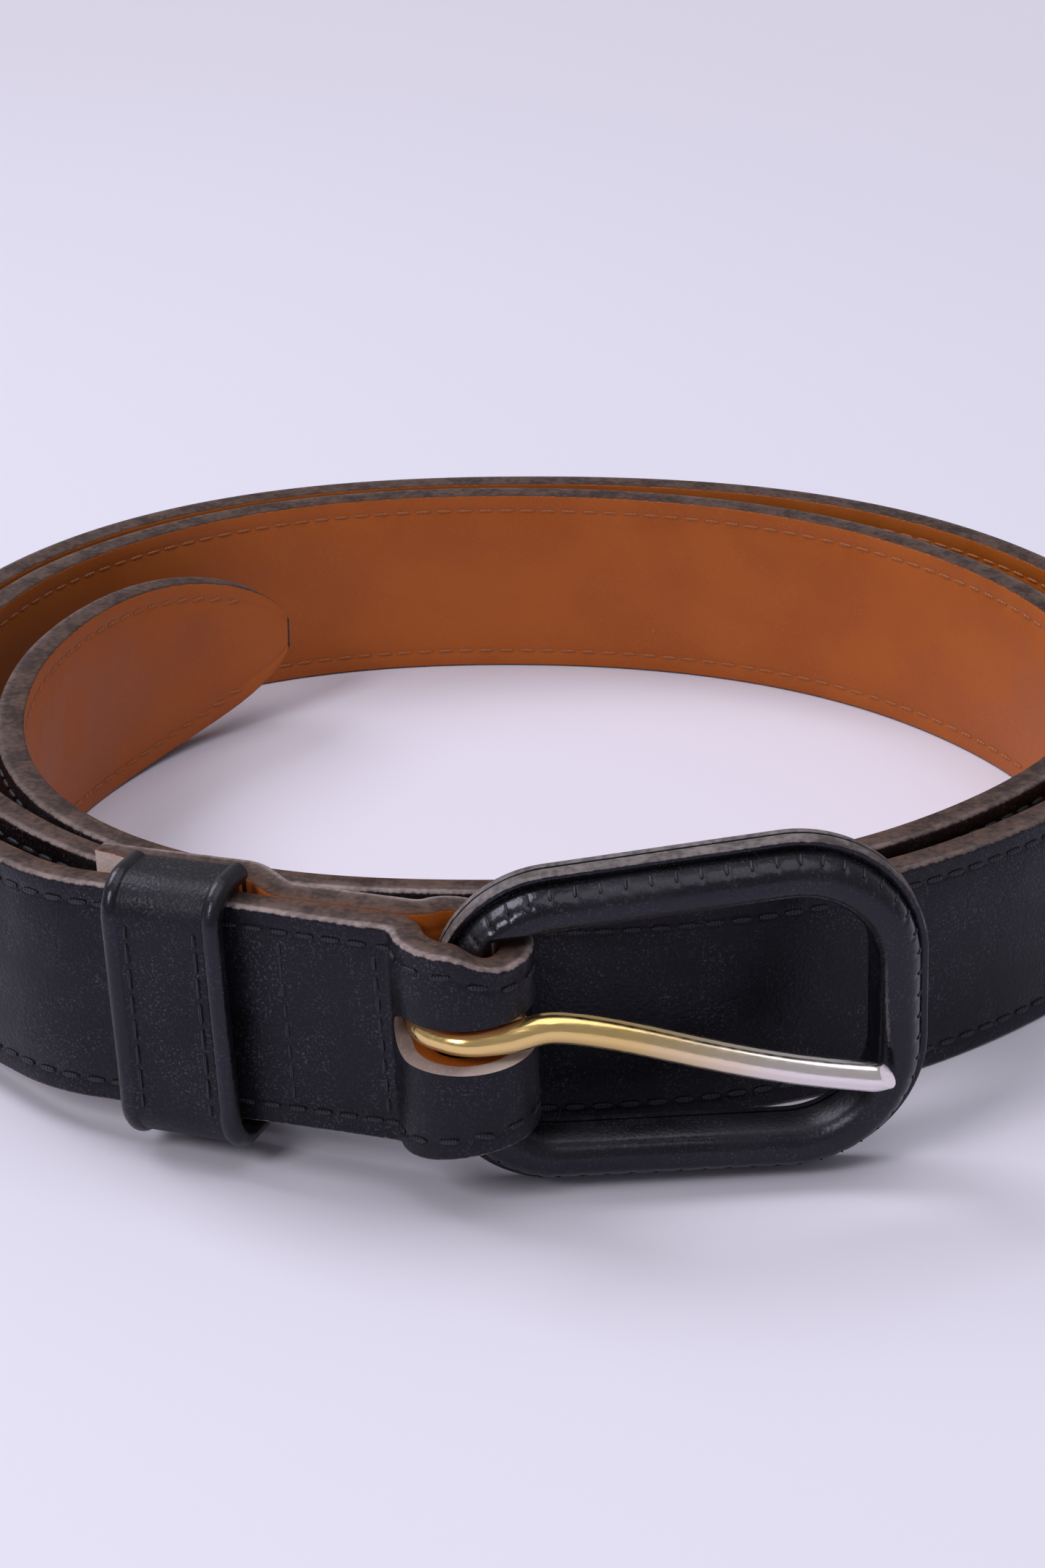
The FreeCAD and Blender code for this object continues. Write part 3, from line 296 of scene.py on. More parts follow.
def coil():
    """The bend behind the keeper, then a clamped spline round the coil, down to the rounded end."""
    centre, front, up = front_frame(-FRONT_REACH)
    start = centre + front * THICK / 2
    heading = pi - radians(FRONT_YAW)
    bend = radians(BEND_TURN)
    turn = np.linspace(0, bend, 12)[1:]
    chord = 2 * BEND_RADIUS * np.sin(turn / 2)
    arc = start[:2] + np.stack([np.cos(heading - turn / 2), np.sin(heading - turn / 2)], 1) * chord[:, None]
    arc_heading = heading - turn
    offset = arc[-1] - COIL_CENTRE
    radii = np.array([np.hypot(*offset)] + COIL_RADII)
    for i, gap in enumerate(COIL_GAPS):
        radii = np.append(radii, radii[i] - THICK - gap)
    last = len(radii) - 1 + TAIL_ANGLE / PLACE_STEP
    place = np.linspace(0, last, int(np.ceil(last * 3)) + 1)[1:]
    angle = np.radians(FIRST_PLACE - PLACE_STEP * place)
    outward = np.stack([np.cos(angle), np.sin(angle)], 1)
    points = np.vstack([arc[-1], COIL_CENTRE + outward * coil_radius(radii, place)[:, None]])
    knots = runs_of(points)
    near_tip = knots[-1] - np.array([5.0, 4.2, 3.5, 2.8, 2.2, 1.6, 1.0, TAIL_FLAT])
    at = np.concatenate([np.arange(1.0, knots[-1] - 6, 1.0), near_tip])
    place, slope = spline(knots, points, (cos(heading - bend), sin(heading - bend)),
                          (sin(angle[-1]), -cos(angle[-1])), at)
    line = np.vstack([arc, place])
    direction = np.concatenate([arc_heading, np.arctan2(slope[:, 1], slope[:, 0])])
    run = BEND_RADIUS * turn[0] + runs_of(line)
    to_tip = run[-1] + TAIL_FLAT - run
    half = HALF_WIDTH * (1 - np.clip(1 - to_tip / TAIL_TAPER, 0, 1) ** TAIL_ROUNDNESS) ** 0.5
    lift = start[2] - HALF_WIDTH
    rise = -np.tan(radians(FRONT_RISE))
    share = np.minimum(run / LIFT_DECAY, 1)
    height = lift * (1 - ease(share)) + rise * LIFT_DECAY * share * (1 - share) ** 2
    steep = -lift * 6 * share * (1 - share) / LIFT_DECAY + rise * (1 - share) * (1 - 3 * share)
    flat = np.stack([np.cos(direction), np.sin(direction), np.zeros(len(run))], 1)
    up = unit(np.array([0, 0, 1]) - flat * steep[:, None])
    outward = np.stack([-flat[:, 1], flat[:, 0], np.zeros(len(run))], 1)
    return np.column_stack([line, HALF_WIDTH + height]), up, outward, half


stretches = [turn_back(), fold(), front_run(), coil()]
middle, strap_up, strap_out, strap_half = (np.concatenate(part) for part in zip(*stretches))
strap_run = runs_of(middle)
stretch_ends = strap_run[np.cumsum([len(part[3]) for part in stretches]) - 1]


def strap_at(run):
    """Middle, up, outward and half width at distances along the strap."""
    place, up, out = (on_line(run, strap_run, values) for values in (middle, strap_up, strap_out))
    return place, unit(up), unit(out), np.interp(run, strap_run, strap_half)


# ---------------------------------------------------------------- meshes
def make(name, points, faces, material, smooth_angle=40, attributes=None):
    """Mesh object at the origin from points in millimetres, with its faces turned outward."""
    points = np.asarray(points, float)
    mesh = bpy.data.meshes.new(name)
    mesh.from_pydata(points * MM, [], faces)
    mesh.polygons.foreach_set("use_smooth", np.ones(len(mesh.polygons), bool))
    mesh.calc_loop_triangles()
    triangles = np.empty(len(mesh.loop_triangles) * 3, np.int32)
    mesh.loop_triangles.foreach_get("vertices", triangles)
    a, b, c = points[triangles.reshape(-1, 3).T]
    if np.einsum("ij,ij->", a, np.cross(b, c)) < 0:
        mesh.flip_normals()
    for label, values in (attributes or {}).items():
        mesh.attributes.new(label, "FLOAT", "POINT").data.foreach_set("value", np.ravel(values))
    mesh.set_sharp_from_angle(angle=radians(smooth_angle))
    mesh.materials.append(material)
    piece = bpy.data.objects.new(name, mesh)
    bpy.context.scene.collection.objects.link(piece)
    return piece


def grid_faces(rows, columns, closed_rows=False):
    """Quads of a rows by columns grid whose columns close on themselves."""
    i = np.arange(rows if closed_rows else rows - 1)[:, None]
    j = np.arange(columns)[None, :]
    after, beside = (i + 1) % rows, (j + 1) % columns
    quads = [i * columns + j, i * columns + beside, after * columns + beside, after * columns + j]
    return np.stack(np.broadcast_arrays(*quads), -1).reshape(-1, 4).tolist()


def tube_faces(rows, columns):
    """The grid with a flat face at each end."""
    first = list(range(columns))
    return grid_faces(rows, columns) + [first[::-1], [i + (rows - 1) * columns for i in first]]


def repeated(faces, corners, count):
    """The same faces for each of several equal shapes of so many corners."""
    return [[corner + i * corners for corner in face] for i in range(count) for face in faces]


def skin(name, points, material, closed=False, smooth_angle=40, attributes=None):
    """Closed profile carried along a path: points[station, profile point]; open paths get flat ends."""
    rows, columns = points.shape[:2]
    faces = grid_faces(rows, columns, True) if closed else tube_faces(rows, columns)
    return make(name, points.reshape(-1, 3), faces, material, smooth_angle, attributes)


def cylinders(name, centres, axes, radius, reach, material):
    """Circle of the radius about each centre, carried along its axis by the reach both ways."""
    sides = 40
    angle = np.linspace(0, 2 * pi, sides + 1)[:-1]
    side = unit(np.cross(axes, [0.0, 0.0, 1.0]))
    over = np.cross(axes, side)
    ring = side[:, None] * np.cos(angle)[None, :, None] + over[:, None] * np.sin(angle)[None, :, None]
    ends = [centres[:, None] + ring * radius + axes[:, None] * step for step in (-reach, reach)]
    faces = repeated(tube_faces(2, sides), 2 * sides, len(centres))
    return make(name, np.stack(ends, 1).reshape(-1, 3), faces, material)


def cut(piece, tool):
    """Takes the tool away from the piece and deletes it; the new faces get the tool's material."""
    modifier = piece.modifiers.new("cut", "BOOLEAN")
    modifier.object = tool
    modifier.solver = "EXACT"
    modifier.material_mode = "TRANSFER"
    bpy.context.view_layer.update()
    done = bpy.data.meshes.new_from_object(piece.evaluated_get(bpy.context.evaluated_depsgraph_get()))
    piece.modifiers.clear()
    piece.data = done
    done.set_sharp_from_angle(angle=radians(40))
    bpy.data.objects.remove(tool)


def stitches(name, centres, along, up, material, length=2.2, width=0.62, proud=0.3):
    """One sausage for each centre: a circle whose radius follows sqrt(1 - x^4) along its length,
    flattened across the leather."""
    x = np.array([-1.0, -0.86, -0.5, 0.0, 0.5, 0.86, 1.0])
    sides = 8
    radius = np.sqrt(np.clip(1 - x**4, 0.02, 1))
    angle = np.linspace(0, 2 * pi, sides + 1)[:-1]
    shape = np.stack(np.broadcast_arrays(x[:, None] * length / 2,
                                         radius[:, None] * np.cos(angle) * width / 2,
                                         radius[:, None] * np.sin(angle) * proud), -1)
    axes = np.stack([along, np.cross(up, along), up], 1)
    points = centres[:, None, None] + np.einsum("rcj,njk->nrck", shape, axes)
    faces = repeated(tube_faces(len(x), sides), len(x) * sides, len(centres))
    return make(name, points.reshape(-1, 3), faces, material)


# ---------------------------------------------------------------- shader groups
def new_group(name, outputs):
    """Empty node group on a Vector with number outputs: its tree, its Vector and its output node."""
    group = bpy.data.node_groups.new(name, "ShaderNodeTree")
    group.interface.new_socket("Vector", in_out="INPUT", socket_type="NodeSocketVector")
    for label in outputs:
        group.interface.new_socket(label, in_out="OUTPUT", socket_type="NodeSocketFloat")
    return group, group.nodes.new("NodeGroupInput").outputs["Vector"], group.nodes.new("NodeGroupOutput")


def put(tree, socket, value):
    """Links a socket's value, or sets a plain one."""
    if isinstance(value, bpy.types.NodeSocket):
        tree.links.new(value, socket)
    else:
        socket.default_value = value


def add(tree, kind, **values):
    """Node of a kind; values are settings, or go into the socket of that name or (_0, _1) number."""
    node = tree.nodes.new(kind)
    for key, value in values.items():
        if hasattr(node, key) and key not in node.inputs:
            setattr(node, key, value)
        else:
            put(tree, node.inputs[int(key[1:]) if key[0] == "_" else key.replace("_", " ")], value)
    return node


def maths(tree, operation, a, b=0.0):
    return add(tree, "ShaderNodeMath", operation=operation, _0=a, _1=b).outputs[0]


def ramp(tree, value, low, high, to_low=0.0, to_high=1.0):
    """Value carried smoothly from low..high to to_low..to_high and held outside."""
    return add(tree, "ShaderNodeMapRange", interpolation_type="SMOOTHSTEP", Value=value,
               From_Min=low, From_Max=high, To_Min=to_low, To_Max=to_high).outputs["Result"]


def noise(tree, place, scale, detail, distortion=0.0):
    return add(tree, "ShaderNodeTexNoise", Vector=place, Scale=scale, Detail=detail,
               Distortion=distortion).outputs[0]


def mix_colour(tree, factor, a, b):
    """Colour between two colours, each a socket or red, green and blue."""
    a, b = (value if isinstance(value, bpy.types.NodeSocket) else (*value, 1) for value in (a, b))
    return add(tree, "ShaderNodeMix", data_type="RGBA", Factor=factor, _6=a, _7=b).outputs[2]


def relief(tree, shader, height, distance, strength=1.0):
    """Bump of a height in the shader's normal."""
    bump = add(tree, "ShaderNodeBump", Height=height, Distance=distance, Strength=strength)
    tree.links.new(bump.outputs["Normal"], shader.inputs["Normal"])


def grain_group():
    """Fine leather grain: pores and pebbles as a height, painted glints as bright specks, and slow mottling.
    """
    tree, place, out = new_group("leather_grain", ("Height", "Painted_Glints", "Mottle"))
    pebbles = add(tree, "ShaderNodeTexVoronoi", feature="SMOOTH_F1", Vector=place, Scale=2300.0,
                  Smoothness=0.6).outputs["Distance"]
    fine = noise(tree, place, 4200.0, 2.0)
    folds = noise(tree, place, 260.0, 2.0, 0.6)
    height = maths(tree, "ADD", maths(tree, "MULTIPLY", pebbles, 0.5), maths(tree, "MULTIPLY", fine, 0.35))
    put(tree, out.inputs["Height"], maths(tree, "ADD", height, maths(tree, "MULTIPLY", folds, 0.8)))
    # painted glints: bright specks of colour standing in for light glinting off the grain, gathered in
    # patches
    glints = ramp(tree, noise(tree, place, 3700.0, 2.0), 0.52, 0.74)
    glint_clusters = ramp(tree, noise(tree, place, 190.0, 2.0), 0.38, 0.66, 0.25, 1.0)
    put(tree, out.inputs["Painted_Glints"], maths(tree, "MULTIPLY", glints, glint_clusters))
    put(tree, out.inputs["Mottle"], ramp(tree, noise(tree, place, 85.0, 3.0), 0.35, 0.65))
    return tree


def fibre_group():
    """Cut edge of leather: fine fibres as a height, and pale patches."""
    tree, place, out = new_group("cut_fibres", ("Height", "Pale"))
    layers = noise(tree, place, 1400.0, 4.0)
    put(tree, out.inputs["Height"], layers)
    patches = maths(tree, "MULTIPLY", noise(tree, place, 320.0, 3.0), 0.5)
    pale = maths(tree, "ADD", maths(tree, "MULTIPLY", layers, 0.5), patches)
    put(tree, out.inputs["Pale"], ramp(tree, pale, 0.36, 0.64))
    return tree


leather_grain = grain_group()
cut_fibres = fibre_group()


def new_material(name):
    """New material: itself, its tree, its Principled shader and its Object coordinates."""
    made = bpy.data.materials.new(name)
    made.use_nodes = True
    tree = made.node_tree
    shader = tree.nodes["Principled BSDF"]
    coordinates = tree.nodes.new("ShaderNodeTexCoord").outputs["Object"]
    return made, tree, shader, coordinates


# cut edges of the leathers, a dark and a light shade each
PAINTED_EDGE = ((0.030, 0.019, 0.016), (0.085, 0.052, 0.042))
# PALE_EDGE, DULL_EDGE and TAN_EDGE are the lighter edge colours, shown as painted light on the cut edges near
# the buckle
PALE_EDGE = ((0.14, 0.100, 0.098), (0.26, 0.205, 0.205))
DULL_EDGE = ((0.060, 0.048, 0.048), (0.17, 0.145, 0.145))
TAN_EDGE = ((0.045, 0.020, 0.012), (0.10, 0.050, 0.032))
RAW_CUT = ((0.30, 0.23, 0.22), (0.60, 0.51, 0.50))
BUCKLE_PLACE = (-0.010, -0.072, 0.03)   # cut edges' painted light: full near here, a quarter further off
COOL_GLOSS = (0.84, 0.82, 1.0, 1.0)     # tint of the shine of waxed leather and thread


def leather_material(name, dark, light, glint_colour, edge_colours, depth, roughness, specular):
    """Finished leather with grain, painted glints as specks, and mottling.  Where the attribute edge is 1 it
    is a cut edge:
    painted, and showing the edge colours as painted light where the attribute wear_and_light is 1
    and the buckle is near."""
    made, tree, shader, place = new_material(name)
    grain = add(tree, "ShaderNodeGroup", node_tree=leather_grain, Vector=place)
    fibres = add(tree, "ShaderNodeGroup", node_tree=cut_fibres, Vector=place)
    face = mix_colour(tree, grain.outputs["Mottle"], dark, light)
    # painted glints: the glint colour laid over the face in bright specks
    face = mix_colour(tree, grain.outputs["Painted_Glints"], face, glint_colour)
    wear_and_light = add(tree, "ShaderNodeAttribute", attribute_name="wear_and_light").outputs["Fac"]
    from_buckle = add(tree, "ShaderNodeVectorMath", operation="DISTANCE", _0=place, _1=BUCKLE_PLACE)
    # painted light on the cut edges: the lighter edge colours show in full near the buckle place and a
    # quarter of them further off
    lit_near_buckle = ramp(tree, from_buckle.outputs["Value"], 0.03, 0.07, 1.0, 0.25)
    bare = mix_colour(tree, maths(tree, "MULTIPLY", wear_and_light, lit_near_buckle),
                      mix_colour(tree, fibres.outputs["Pale"], *PAINTED_EDGE),
                      mix_colour(tree, fibres.outputs["Pale"], *edge_colours))
    edge = add(tree, "ShaderNodeAttribute", attribute_name="edge").outputs["Fac"]
    ragged = maths(tree, "ADD", edge, maths(tree, "MULTIPLY", fibres.outputs["Height"], 0.5))
    mask = ramp(tree, ragged, 0.66, 0.86)
    tree.links.new(mix_colour(tree, mask, face, bare), shader.inputs["Base Color"])
    rough = ramp(tree, grain.outputs["Mottle"], 0.0, 1.0, *roughness)
    rough = maths(tree, "SUBTRACT", rough, maths(tree, "MULTIPLY", grain.outputs["Painted_Glints"], 0.08))
    rough = maths(tree, "ADD", rough, maths(tree, "MULTIPLY", mask, 0.35))
    tree.links.new(rough, shader.inputs["Roughness"])
    cut_height = maths(tree, "MULTIPLY", fibres.outputs["Height"], mask)
    relief(tree, shader, maths(tree, "ADD", grain.outputs["Height"], cut_height), depth)
    shader.inputs["Specular IOR Level"].default_value = specular
    shader.inputs["Specular Tint"].default_value = COOL_GLOSS
    return made


def metal_material(name):
    """Plated wire: gold that wears to pinkish silver towards the tip, with fine drawn lines."""
    made, tree, shader, place = new_material(name)
    x = add(tree, "ShaderNodeSeparateXYZ", Vector=place).outputs["X"]
    wander = maths(tree, "SUBTRACT", noise(tree, place, 180.0, 2.0), 0.5)
    wear_and_light = ramp(tree, maths(tree, "ADD", x, maths(tree, "MULTIPLY", wander, 0.006)), 0.008, 0.03)
    colour = mix_colour(tree, wear_and_light, (0.80, 0.56, 0.23), (0.88, 0.81, 0.80))
    tree.links.new(colour, shader.inputs["Base Color"])
    stretched = add(tree, "ShaderNodeMapping", Vector=place, Rotation=(0.0, radians(17), radians(7)),
                    Scale=(60.0, 3000.0, 3000.0)).outputs[0]
    drawn = noise(tree, stretched, 1.0, 2.0)
    tree.links.new(ramp(tree, drawn, 0.3, 0.7, 0.14, 0.26), shader.inputs["Roughness"])
    relief(tree, shader, drawn, 0.00001, 0.5)
    shader.inputs["Metallic"].default_value = 1.0
    return made


def thread_material(name, colour, light):
    """Waxed thread: twisted strands as slanting ridges."""
    made, tree, shader, place = new_material(name)
    twist = add(tree, "ShaderNodeTexWave", Vector=place, Scale=900.0, Distortion=2.0, Detail=2.0).outputs[1]
    tree.links.new(mix_colour(tree, twist, colour, light), shader.inputs["Base Color"])
    relief(tree, shader, twist, 0.00005, 0.7)
    shader.inputs["Roughness"].default_value = 0.5
    shader.inputs["Specular IOR Level"].default_value = 0.36
    shader.inputs["Specular Tint"].default_value = COOL_GLOSS
    return made


def steel_material(name):
    """Plain steel, slightly clouded."""
    made, tree, shader, place = new_material(name)
    clouds = noise(tree, place, 600.0, 3.0)
    colour = mix_colour(tree, clouds, (0.35, 0.35, 0.36), (0.5, 0.5, 0.5))
    tree.links.new(colour, shader.inputs["Base Color"])
    tree.links.new(ramp(tree, clouds, 0.3, 0.7, 0.3, 0.5), shader.inputs["Roughness"])
    shader.inputs["Metallic"].default_value = 1.0
    return made


# the third colour of each leather is its painted glints
black_leather = leather_material(
    "black_leather", (0.0028, 0.0025, 0.0036), (0.0060, 0.0055, 0.0072), (0.050, 0.047, 0.058),
    PALE_EDGE, depth=0.00007, roughness=(0.34, 0.48), specular=0.24)
smooth_leather = leather_material(
    "smooth_black_leather", (0.0025, 0.0023, 0.0034), (0.0048, 0.0045, 0.0062), (0.030, 0.028, 0.036),
    DULL_EDGE, depth=0.00004, roughness=(0.22, 0.36), specular=0.4)
tan_leather = leather_material(
    "tan_lining", (0.325, 0.078, 0.010), (0.365, 0.092, 0.013), (0.39, 0.108, 0.019),
    TAN_EDGE, depth=0.00003, roughness=(0.42, 0.55), specular=0.25)
cut_edge = leather_material(
    "cut_black_leather", *RAW_CUT, (0.5, 0.43, 0.42),
    RAW_CUT, depth=0.00006, roughness=(0.7, 0.85), specular=0.2)
black_thread = thread_material("black_thread", (0.004, 0.004, 0.005), (0.022, 0.021, 0.025))
tan_thread = thread_material("tan_thread", (0.24, 0.075, 0.018), (0.37, 0.12, 0.034))
plated_wire = metal_material("plated_wire")
plain_steel = steel_material("plain_steel")


# ---------------------------------------------------------------- the strap
def strap_profile(face, meeting, corner, groove):
    """Closed section of one leather as (across, share of half width, distance from the edge, edge,
    wear_and_light): from the meeting face round both rounded corners, with a groove for each row of stitches.
    The last is painted light on the cut edge: full over the rounded corners, fading down the edge to none at
    the meeting face."""
    side = 1 if face > meeting else -1
    t = np.linspace(0, pi / 2, 5)
    row = EDGE_ROW + np.array([-0.62, -0.38, -0.12, 0.12, 0.38, 0.62])
    depth = groove * np.array([0.0, 0.5, 1.0, 1.0, 0.5, 0.0])
    lower = [(meeting, -1, 0.0, 1.0, 0.0), (face - side * EDGE_LIGHT_DEPTH, -1, 0.0, 1.0, 0.15)]
    lower += [(face - side * corner * (1 - sin(a)), -1, corner * (1 - cos(a)), 1.0 - 0.75 * a / (pi / 2), 1.0)
              for a in t]
    lower += [(face, -1, EDGE_FADE, 0.0, 1.0)]
    lower += [(face - side * d, -1, r, 0.0, 1.0) for d, r in zip(depth, row)]
    lower += [(face, -0.5, 0.0, 0.0, 1.0)]
    upper = [(across, -share, gap, edge, wear_and_light) for across, share, gap, edge, wear_and_light in reversed(lower)]
    return np.array(lower + [(face, 0.0, 0.0, 0.0, 1.0)] + upper)


def strap_skin(name, profile, material):
    """The section carried along the strap: middle + across * outward + height * up; its distances from
    the edge shrink where the strap narrows to the rounded end."""
    across, share, gap, edge, wear_and_light = profile.T
    scale = np.minimum(1, strap_half / FULL_SECTION)[:, None]
    height = share * strap_half[:, None] - np.sign(share) * gap * scale
    points = (middle[:, None] + strap_out[:, None] * across[None, :, None]
              + strap_up[:, None] * height[..., None])
    edges = np.tile(edge, (len(middle), 1))
    edges[[0, -1]] = 1
    return skin(name, points, material, attributes={"edge": edges, "wear_and_light": np.tile(wear_and_light, (len(middle), 1))})


def slot_tool(material):
    """Long hole across the fold: a rectangle with one round end, carried through the fold."""
    radius = SLOT_HEIGHT / 2
    angle = np.linspace(pi / 2, 3 * pi / 2, 17)
    x = np.concatenate([radius - SLOT_REACH + radius * np.cos(angle), [SLOT_CUT, SLOT_CUT]])
    z = np.concatenate([radius * np.sin(angle), [-radius, radius]]) + SLOT_LEVEL
    flat = BAR_CENTRE + np.outer(x, bar_along) + np.outer(z, bar_up)
    points = np.stack([flat + bar_front * reach for reach in (-SLOT_CUT, SLOT_CUT)])
    return skin("slot_tool", points, material)


def skive_tool(material):
    """Wedge that pares the lining to a slant at the raw end of the turn-back, where it shows pale."""
    along, out, up = unit(middle[1] - middle[0]), strap_out[0], strap_up[0]
    run = np.array([-1.0, -1.0, 2 * SKIVE_LENGTH])
    across = -THICK / 2 + SKIVE_DEPTH * np.array([1 + 1 / SKIVE_LENGTH, -1.0, -1.0])
    section = middle[0] + np.outer(run, along) + np.outer(across, out)
    turn = 1 if np.cross(along, out) @ up > 0 else -1
    points = np.stack([section[::turn] + up * height for height in (-HALF_WIDTH - 1, HALF_WIDTH + 1)])
    return skin("skive_tool", points, material)


hole_runs = strap_run[-1] + TAIL_FLAT - HOLE_FROM_TIP - HOLE_PITCH * np.arange(HOLE_COUNT)
hole_middle, _, hole_out, _ = strap_at(hole_runs)
outer_profile = strap_profile(THICK / 2, BETWEEN, corner=0.5, groove=0.16)
lining_profile = strap_profile(-THICK / 2, BETWEEN, corner=0.35, groove=0.08)
leather = strap_skin("strap_leather_skin", outer_profile, black_leather)
lining = strap_skin("strap_lining_skin", lining_profile, tan_leather)
cut(lining, skive_tool(cut_edge))
for piece, bare, node in ((leather, cut_edge, "strap_outer_leather"), (lining, tan_leather, "strap_lining")):
    cut(piece, slot_tool(bare))
    cut(piece, cylinders("hole_tool", hole_middle, hole_out, HOLE_RADIUS, reach=3.0, material=bare))
    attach(piece, "strap")
    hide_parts(node)


def edge_row(sign, start, side, depth):
    """Centres, along and outward of the stitches beside one edge, on the front or the lining side."""
    reach = strap_run[strap_half > HALF_WIDTH * EDGE_ROW_END][-1]
    run = np.arange(start, reach, STITCH_PITCH)
    centre, up, out, half = strap_at(run)
    along = unit(strap_at(run + 0.5)[0] - strap_at(run - 0.5)[0])
    row = centre + up * (sign * (half - EDGE_ROW))[:, None]
    return row + out * side * (THICK / 2 - depth), along, out * side


for label, sign in (("upper", 1), ("lower", -1)):
    outer_row = edge_row(sign, stretch_ends[0] + EDGE_ROW_START, side=1, depth=0.1)
    row = stitches(f"{label}_edge_stitches", *outer_row, black_thread)
    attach(row, "strap")
    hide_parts(f"{label}_edge_stitching")
    inner_row = edge_row(sign, stretch_ends[2], side=-1, depth=0.02)
    inner = stitches(f"{label}_lining_stitches", *inner_row, tan_thread, width=0.45, proud=0.12)
    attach(inner, "strap")


def box_rows():
    """Upright rows beside the neck and at the far end of the sewn stretch, front and turn-back."""
    height = np.arange(-BOX_ROW_HALF, BOX_ROW_HALF + 0.1, BOX_ROW_PITCH)
    centres, ups = [], []
    for reach in (sewn_start - BOX_ROW_INSET, sewn_end + BOX_ROW_INSET):
        centre, front, up = front_frame(reach)
        line = centre + np.outer(height, up)
        step = front * (THICK - BOX_STITCH_DEPTH)
        centres += [line + step, line - step]
        ups += [np.tile(front, (len(height), 1)), np.tile(-front, (len(height), 1))]
    ups = np.vstack(ups)
    return np.vstack(centres), square_to(np.tile(bar_up, (len(ups), 1)), ups), ups


box_stitches = stitches("box_stitches", *box_rows(), black_thread, length=1.8, width=0.6, proud=0.25)
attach(box_stitches, "strap")
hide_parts("turn_back_stitching")


# ---------------------------------------------------------------- the ring
swing = radians(RING_SWING)
ring_along = bar_along * cos(swing) - bar_front * sin(swing)
ring_back = -bar_front * cos(swing) - bar_along * sin(swing)


def from_ring(points, drop=RING_DROP):
    """Ring coordinates (along, behind, up) to the belt's frame."""
    points = np.asarray(points, float)
    return (BAR_CENTRE - bar_up * drop + points[..., :1] * ring_along + points[..., 1:2] * ring_back
            + points[..., 2:] * bar_up)


def ring_outline(step=0.2):
    """Outer edge of the band, evenly spaced, and its outward directions: a rounded trapezium."""
    slope = np.arctan((RING_END_HEIGHT - RING_BAR_HEIGHT) / 2 / RING_LENGTH)
    rise = (RING_BAR_HEIGHT / 2 + BAR_INSET * np.tan(slope)) * cos(slope)
    normal = np.array([-sin(slope), cos(slope)])
    near, far = -BAR_INSET, RING_LENGTH - BAR_INSET
    r1, r2 = RING_CORNERS
    c1 = np.array([near + r1, (rise - r1 - normal[0] * (near + r1)) / normal[1]])
    c2 = np.array([far - r2, (rise - r2 - normal[0] * (far - r2)) / normal[1]])
    corner1 = np.linspace(pi, pi / 2 + slope, 40)
    corner2 = np.linspace(pi / 2 + slope, 0, 40)
    half = np.vstack([c1 + r1 * np.stack([np.cos(corner1), np.sin(corner1)], 1),
                      c2 + r2 * np.stack([np.cos(corner2), np.sin(corner2)], 1)])
    loop = np.vstack([half, half[::-1] * (1, -1)])
    loop = np.vstack([loop, loop[:1]])
    run = runs_of(loop)
    count = int(run[-1] / step)
    at = np.arange(count) * run[-1] / count
    place = on_line(at, run, loop)
    heading = unit(on_line((at + 0.05) % run[-1], run, loop) - place)
    return place, np.stack([-heading[:, 1], heading[:, 0]], 1), at, run[-1]


outline, outward, ring_run, ring_length = ring_outline()
stitch_count = round(ring_length / RING_PITCH)


def ring_skin(name, inset, depth, edge, material, pucker=0.0):
    """Section (inset from the outer edge, depth behind the hinge line) carried round the outline;
    the stretch in the fold is drawn in to the bar's radius; puckers are narrow bell-shaped dents, one at
    each stitch, across the foot of the dome."""
    flat = outline[:, None] - outward[:, None] * inset[None, :, None]
    depths = np.tile(depth, (len(outline), 1))
    dent = np.exp(-((ring_run / ring_length * stitch_count % 1 - 0.5) / PUCKER_SHARE) ** 2)[:, None]
    near_row = np.exp(-((inset - PUCKER_INSET) / PUCKER_REACH) ** 2)[None, :]
    depths = depths + pucker * dent * near_row * (depths < FLANGE_FACE)
    x, z = flat[..., 0], flat[..., 1]
    in_fold = ease((BAR_HALF_HEIGHT - np.abs(z - RING_DROP)) / DRAW_EASE + 0.5) * (x < BAR_SIDE)
    radius = np.hypot(x, depths)
    pull = 1 + in_fold * (np.minimum(1, (BAR_RADIUS - DRAW_DEPTH) / radius) - 1)
    points = np.stack([x * pull, depths * pull, z], -1)
    # the ring's cut edges carry painted light all round: wear_and_light is 1 everywhere
    return skin(name, from_ring(points), material, closed=True,
                attributes={"edge": np.tile(edge, (len(outline), 1)), "wear_and_light": np.ones(depths.shape)})


def cover_section():
    """Sewn land, groove and a dome that is a superellipse, down to the inner side; as inset, depth, edge."""
    t = np.linspace(-1, 1, 27)[1:-1]
    half = (RING_BAND - FLANGE_LAND) / 2
    dome_inset = FLANGE_LAND + half + half * t
    dome_depth = FLANGE_FACE - DOME_HEIGHT * (1 - np.abs(t) ** DOME_POWER) ** (1 / DOME_POWER)
    inset = np.concatenate([[0.25, 0.08, 0.0, 0.0, 0.06, 0.2, 0.5, 0.9, 1.08], dome_inset,
                            [RING_BAND, RING_BAND, 5.6, 3.0]])
    depth = np.concatenate([[FLANGE_BACK, FLANGE_BACK - 0.08, FLANGE_BACK - 0.25], [0.5, 0.25, 0.12, 0.1],
                            [0.16, 0.3], dome_depth, [0.6, FLANGE_BACK - 0.3, FLANGE_BACK, FLANGE_BACK]])
    edge = np.concatenate([[0.0, 0.1, 1.0, 1.0, 0.85, 0.4, 0.1, 0.0, 0.0], np.zeros(len(t) + 4)])
    return inset, depth, edge


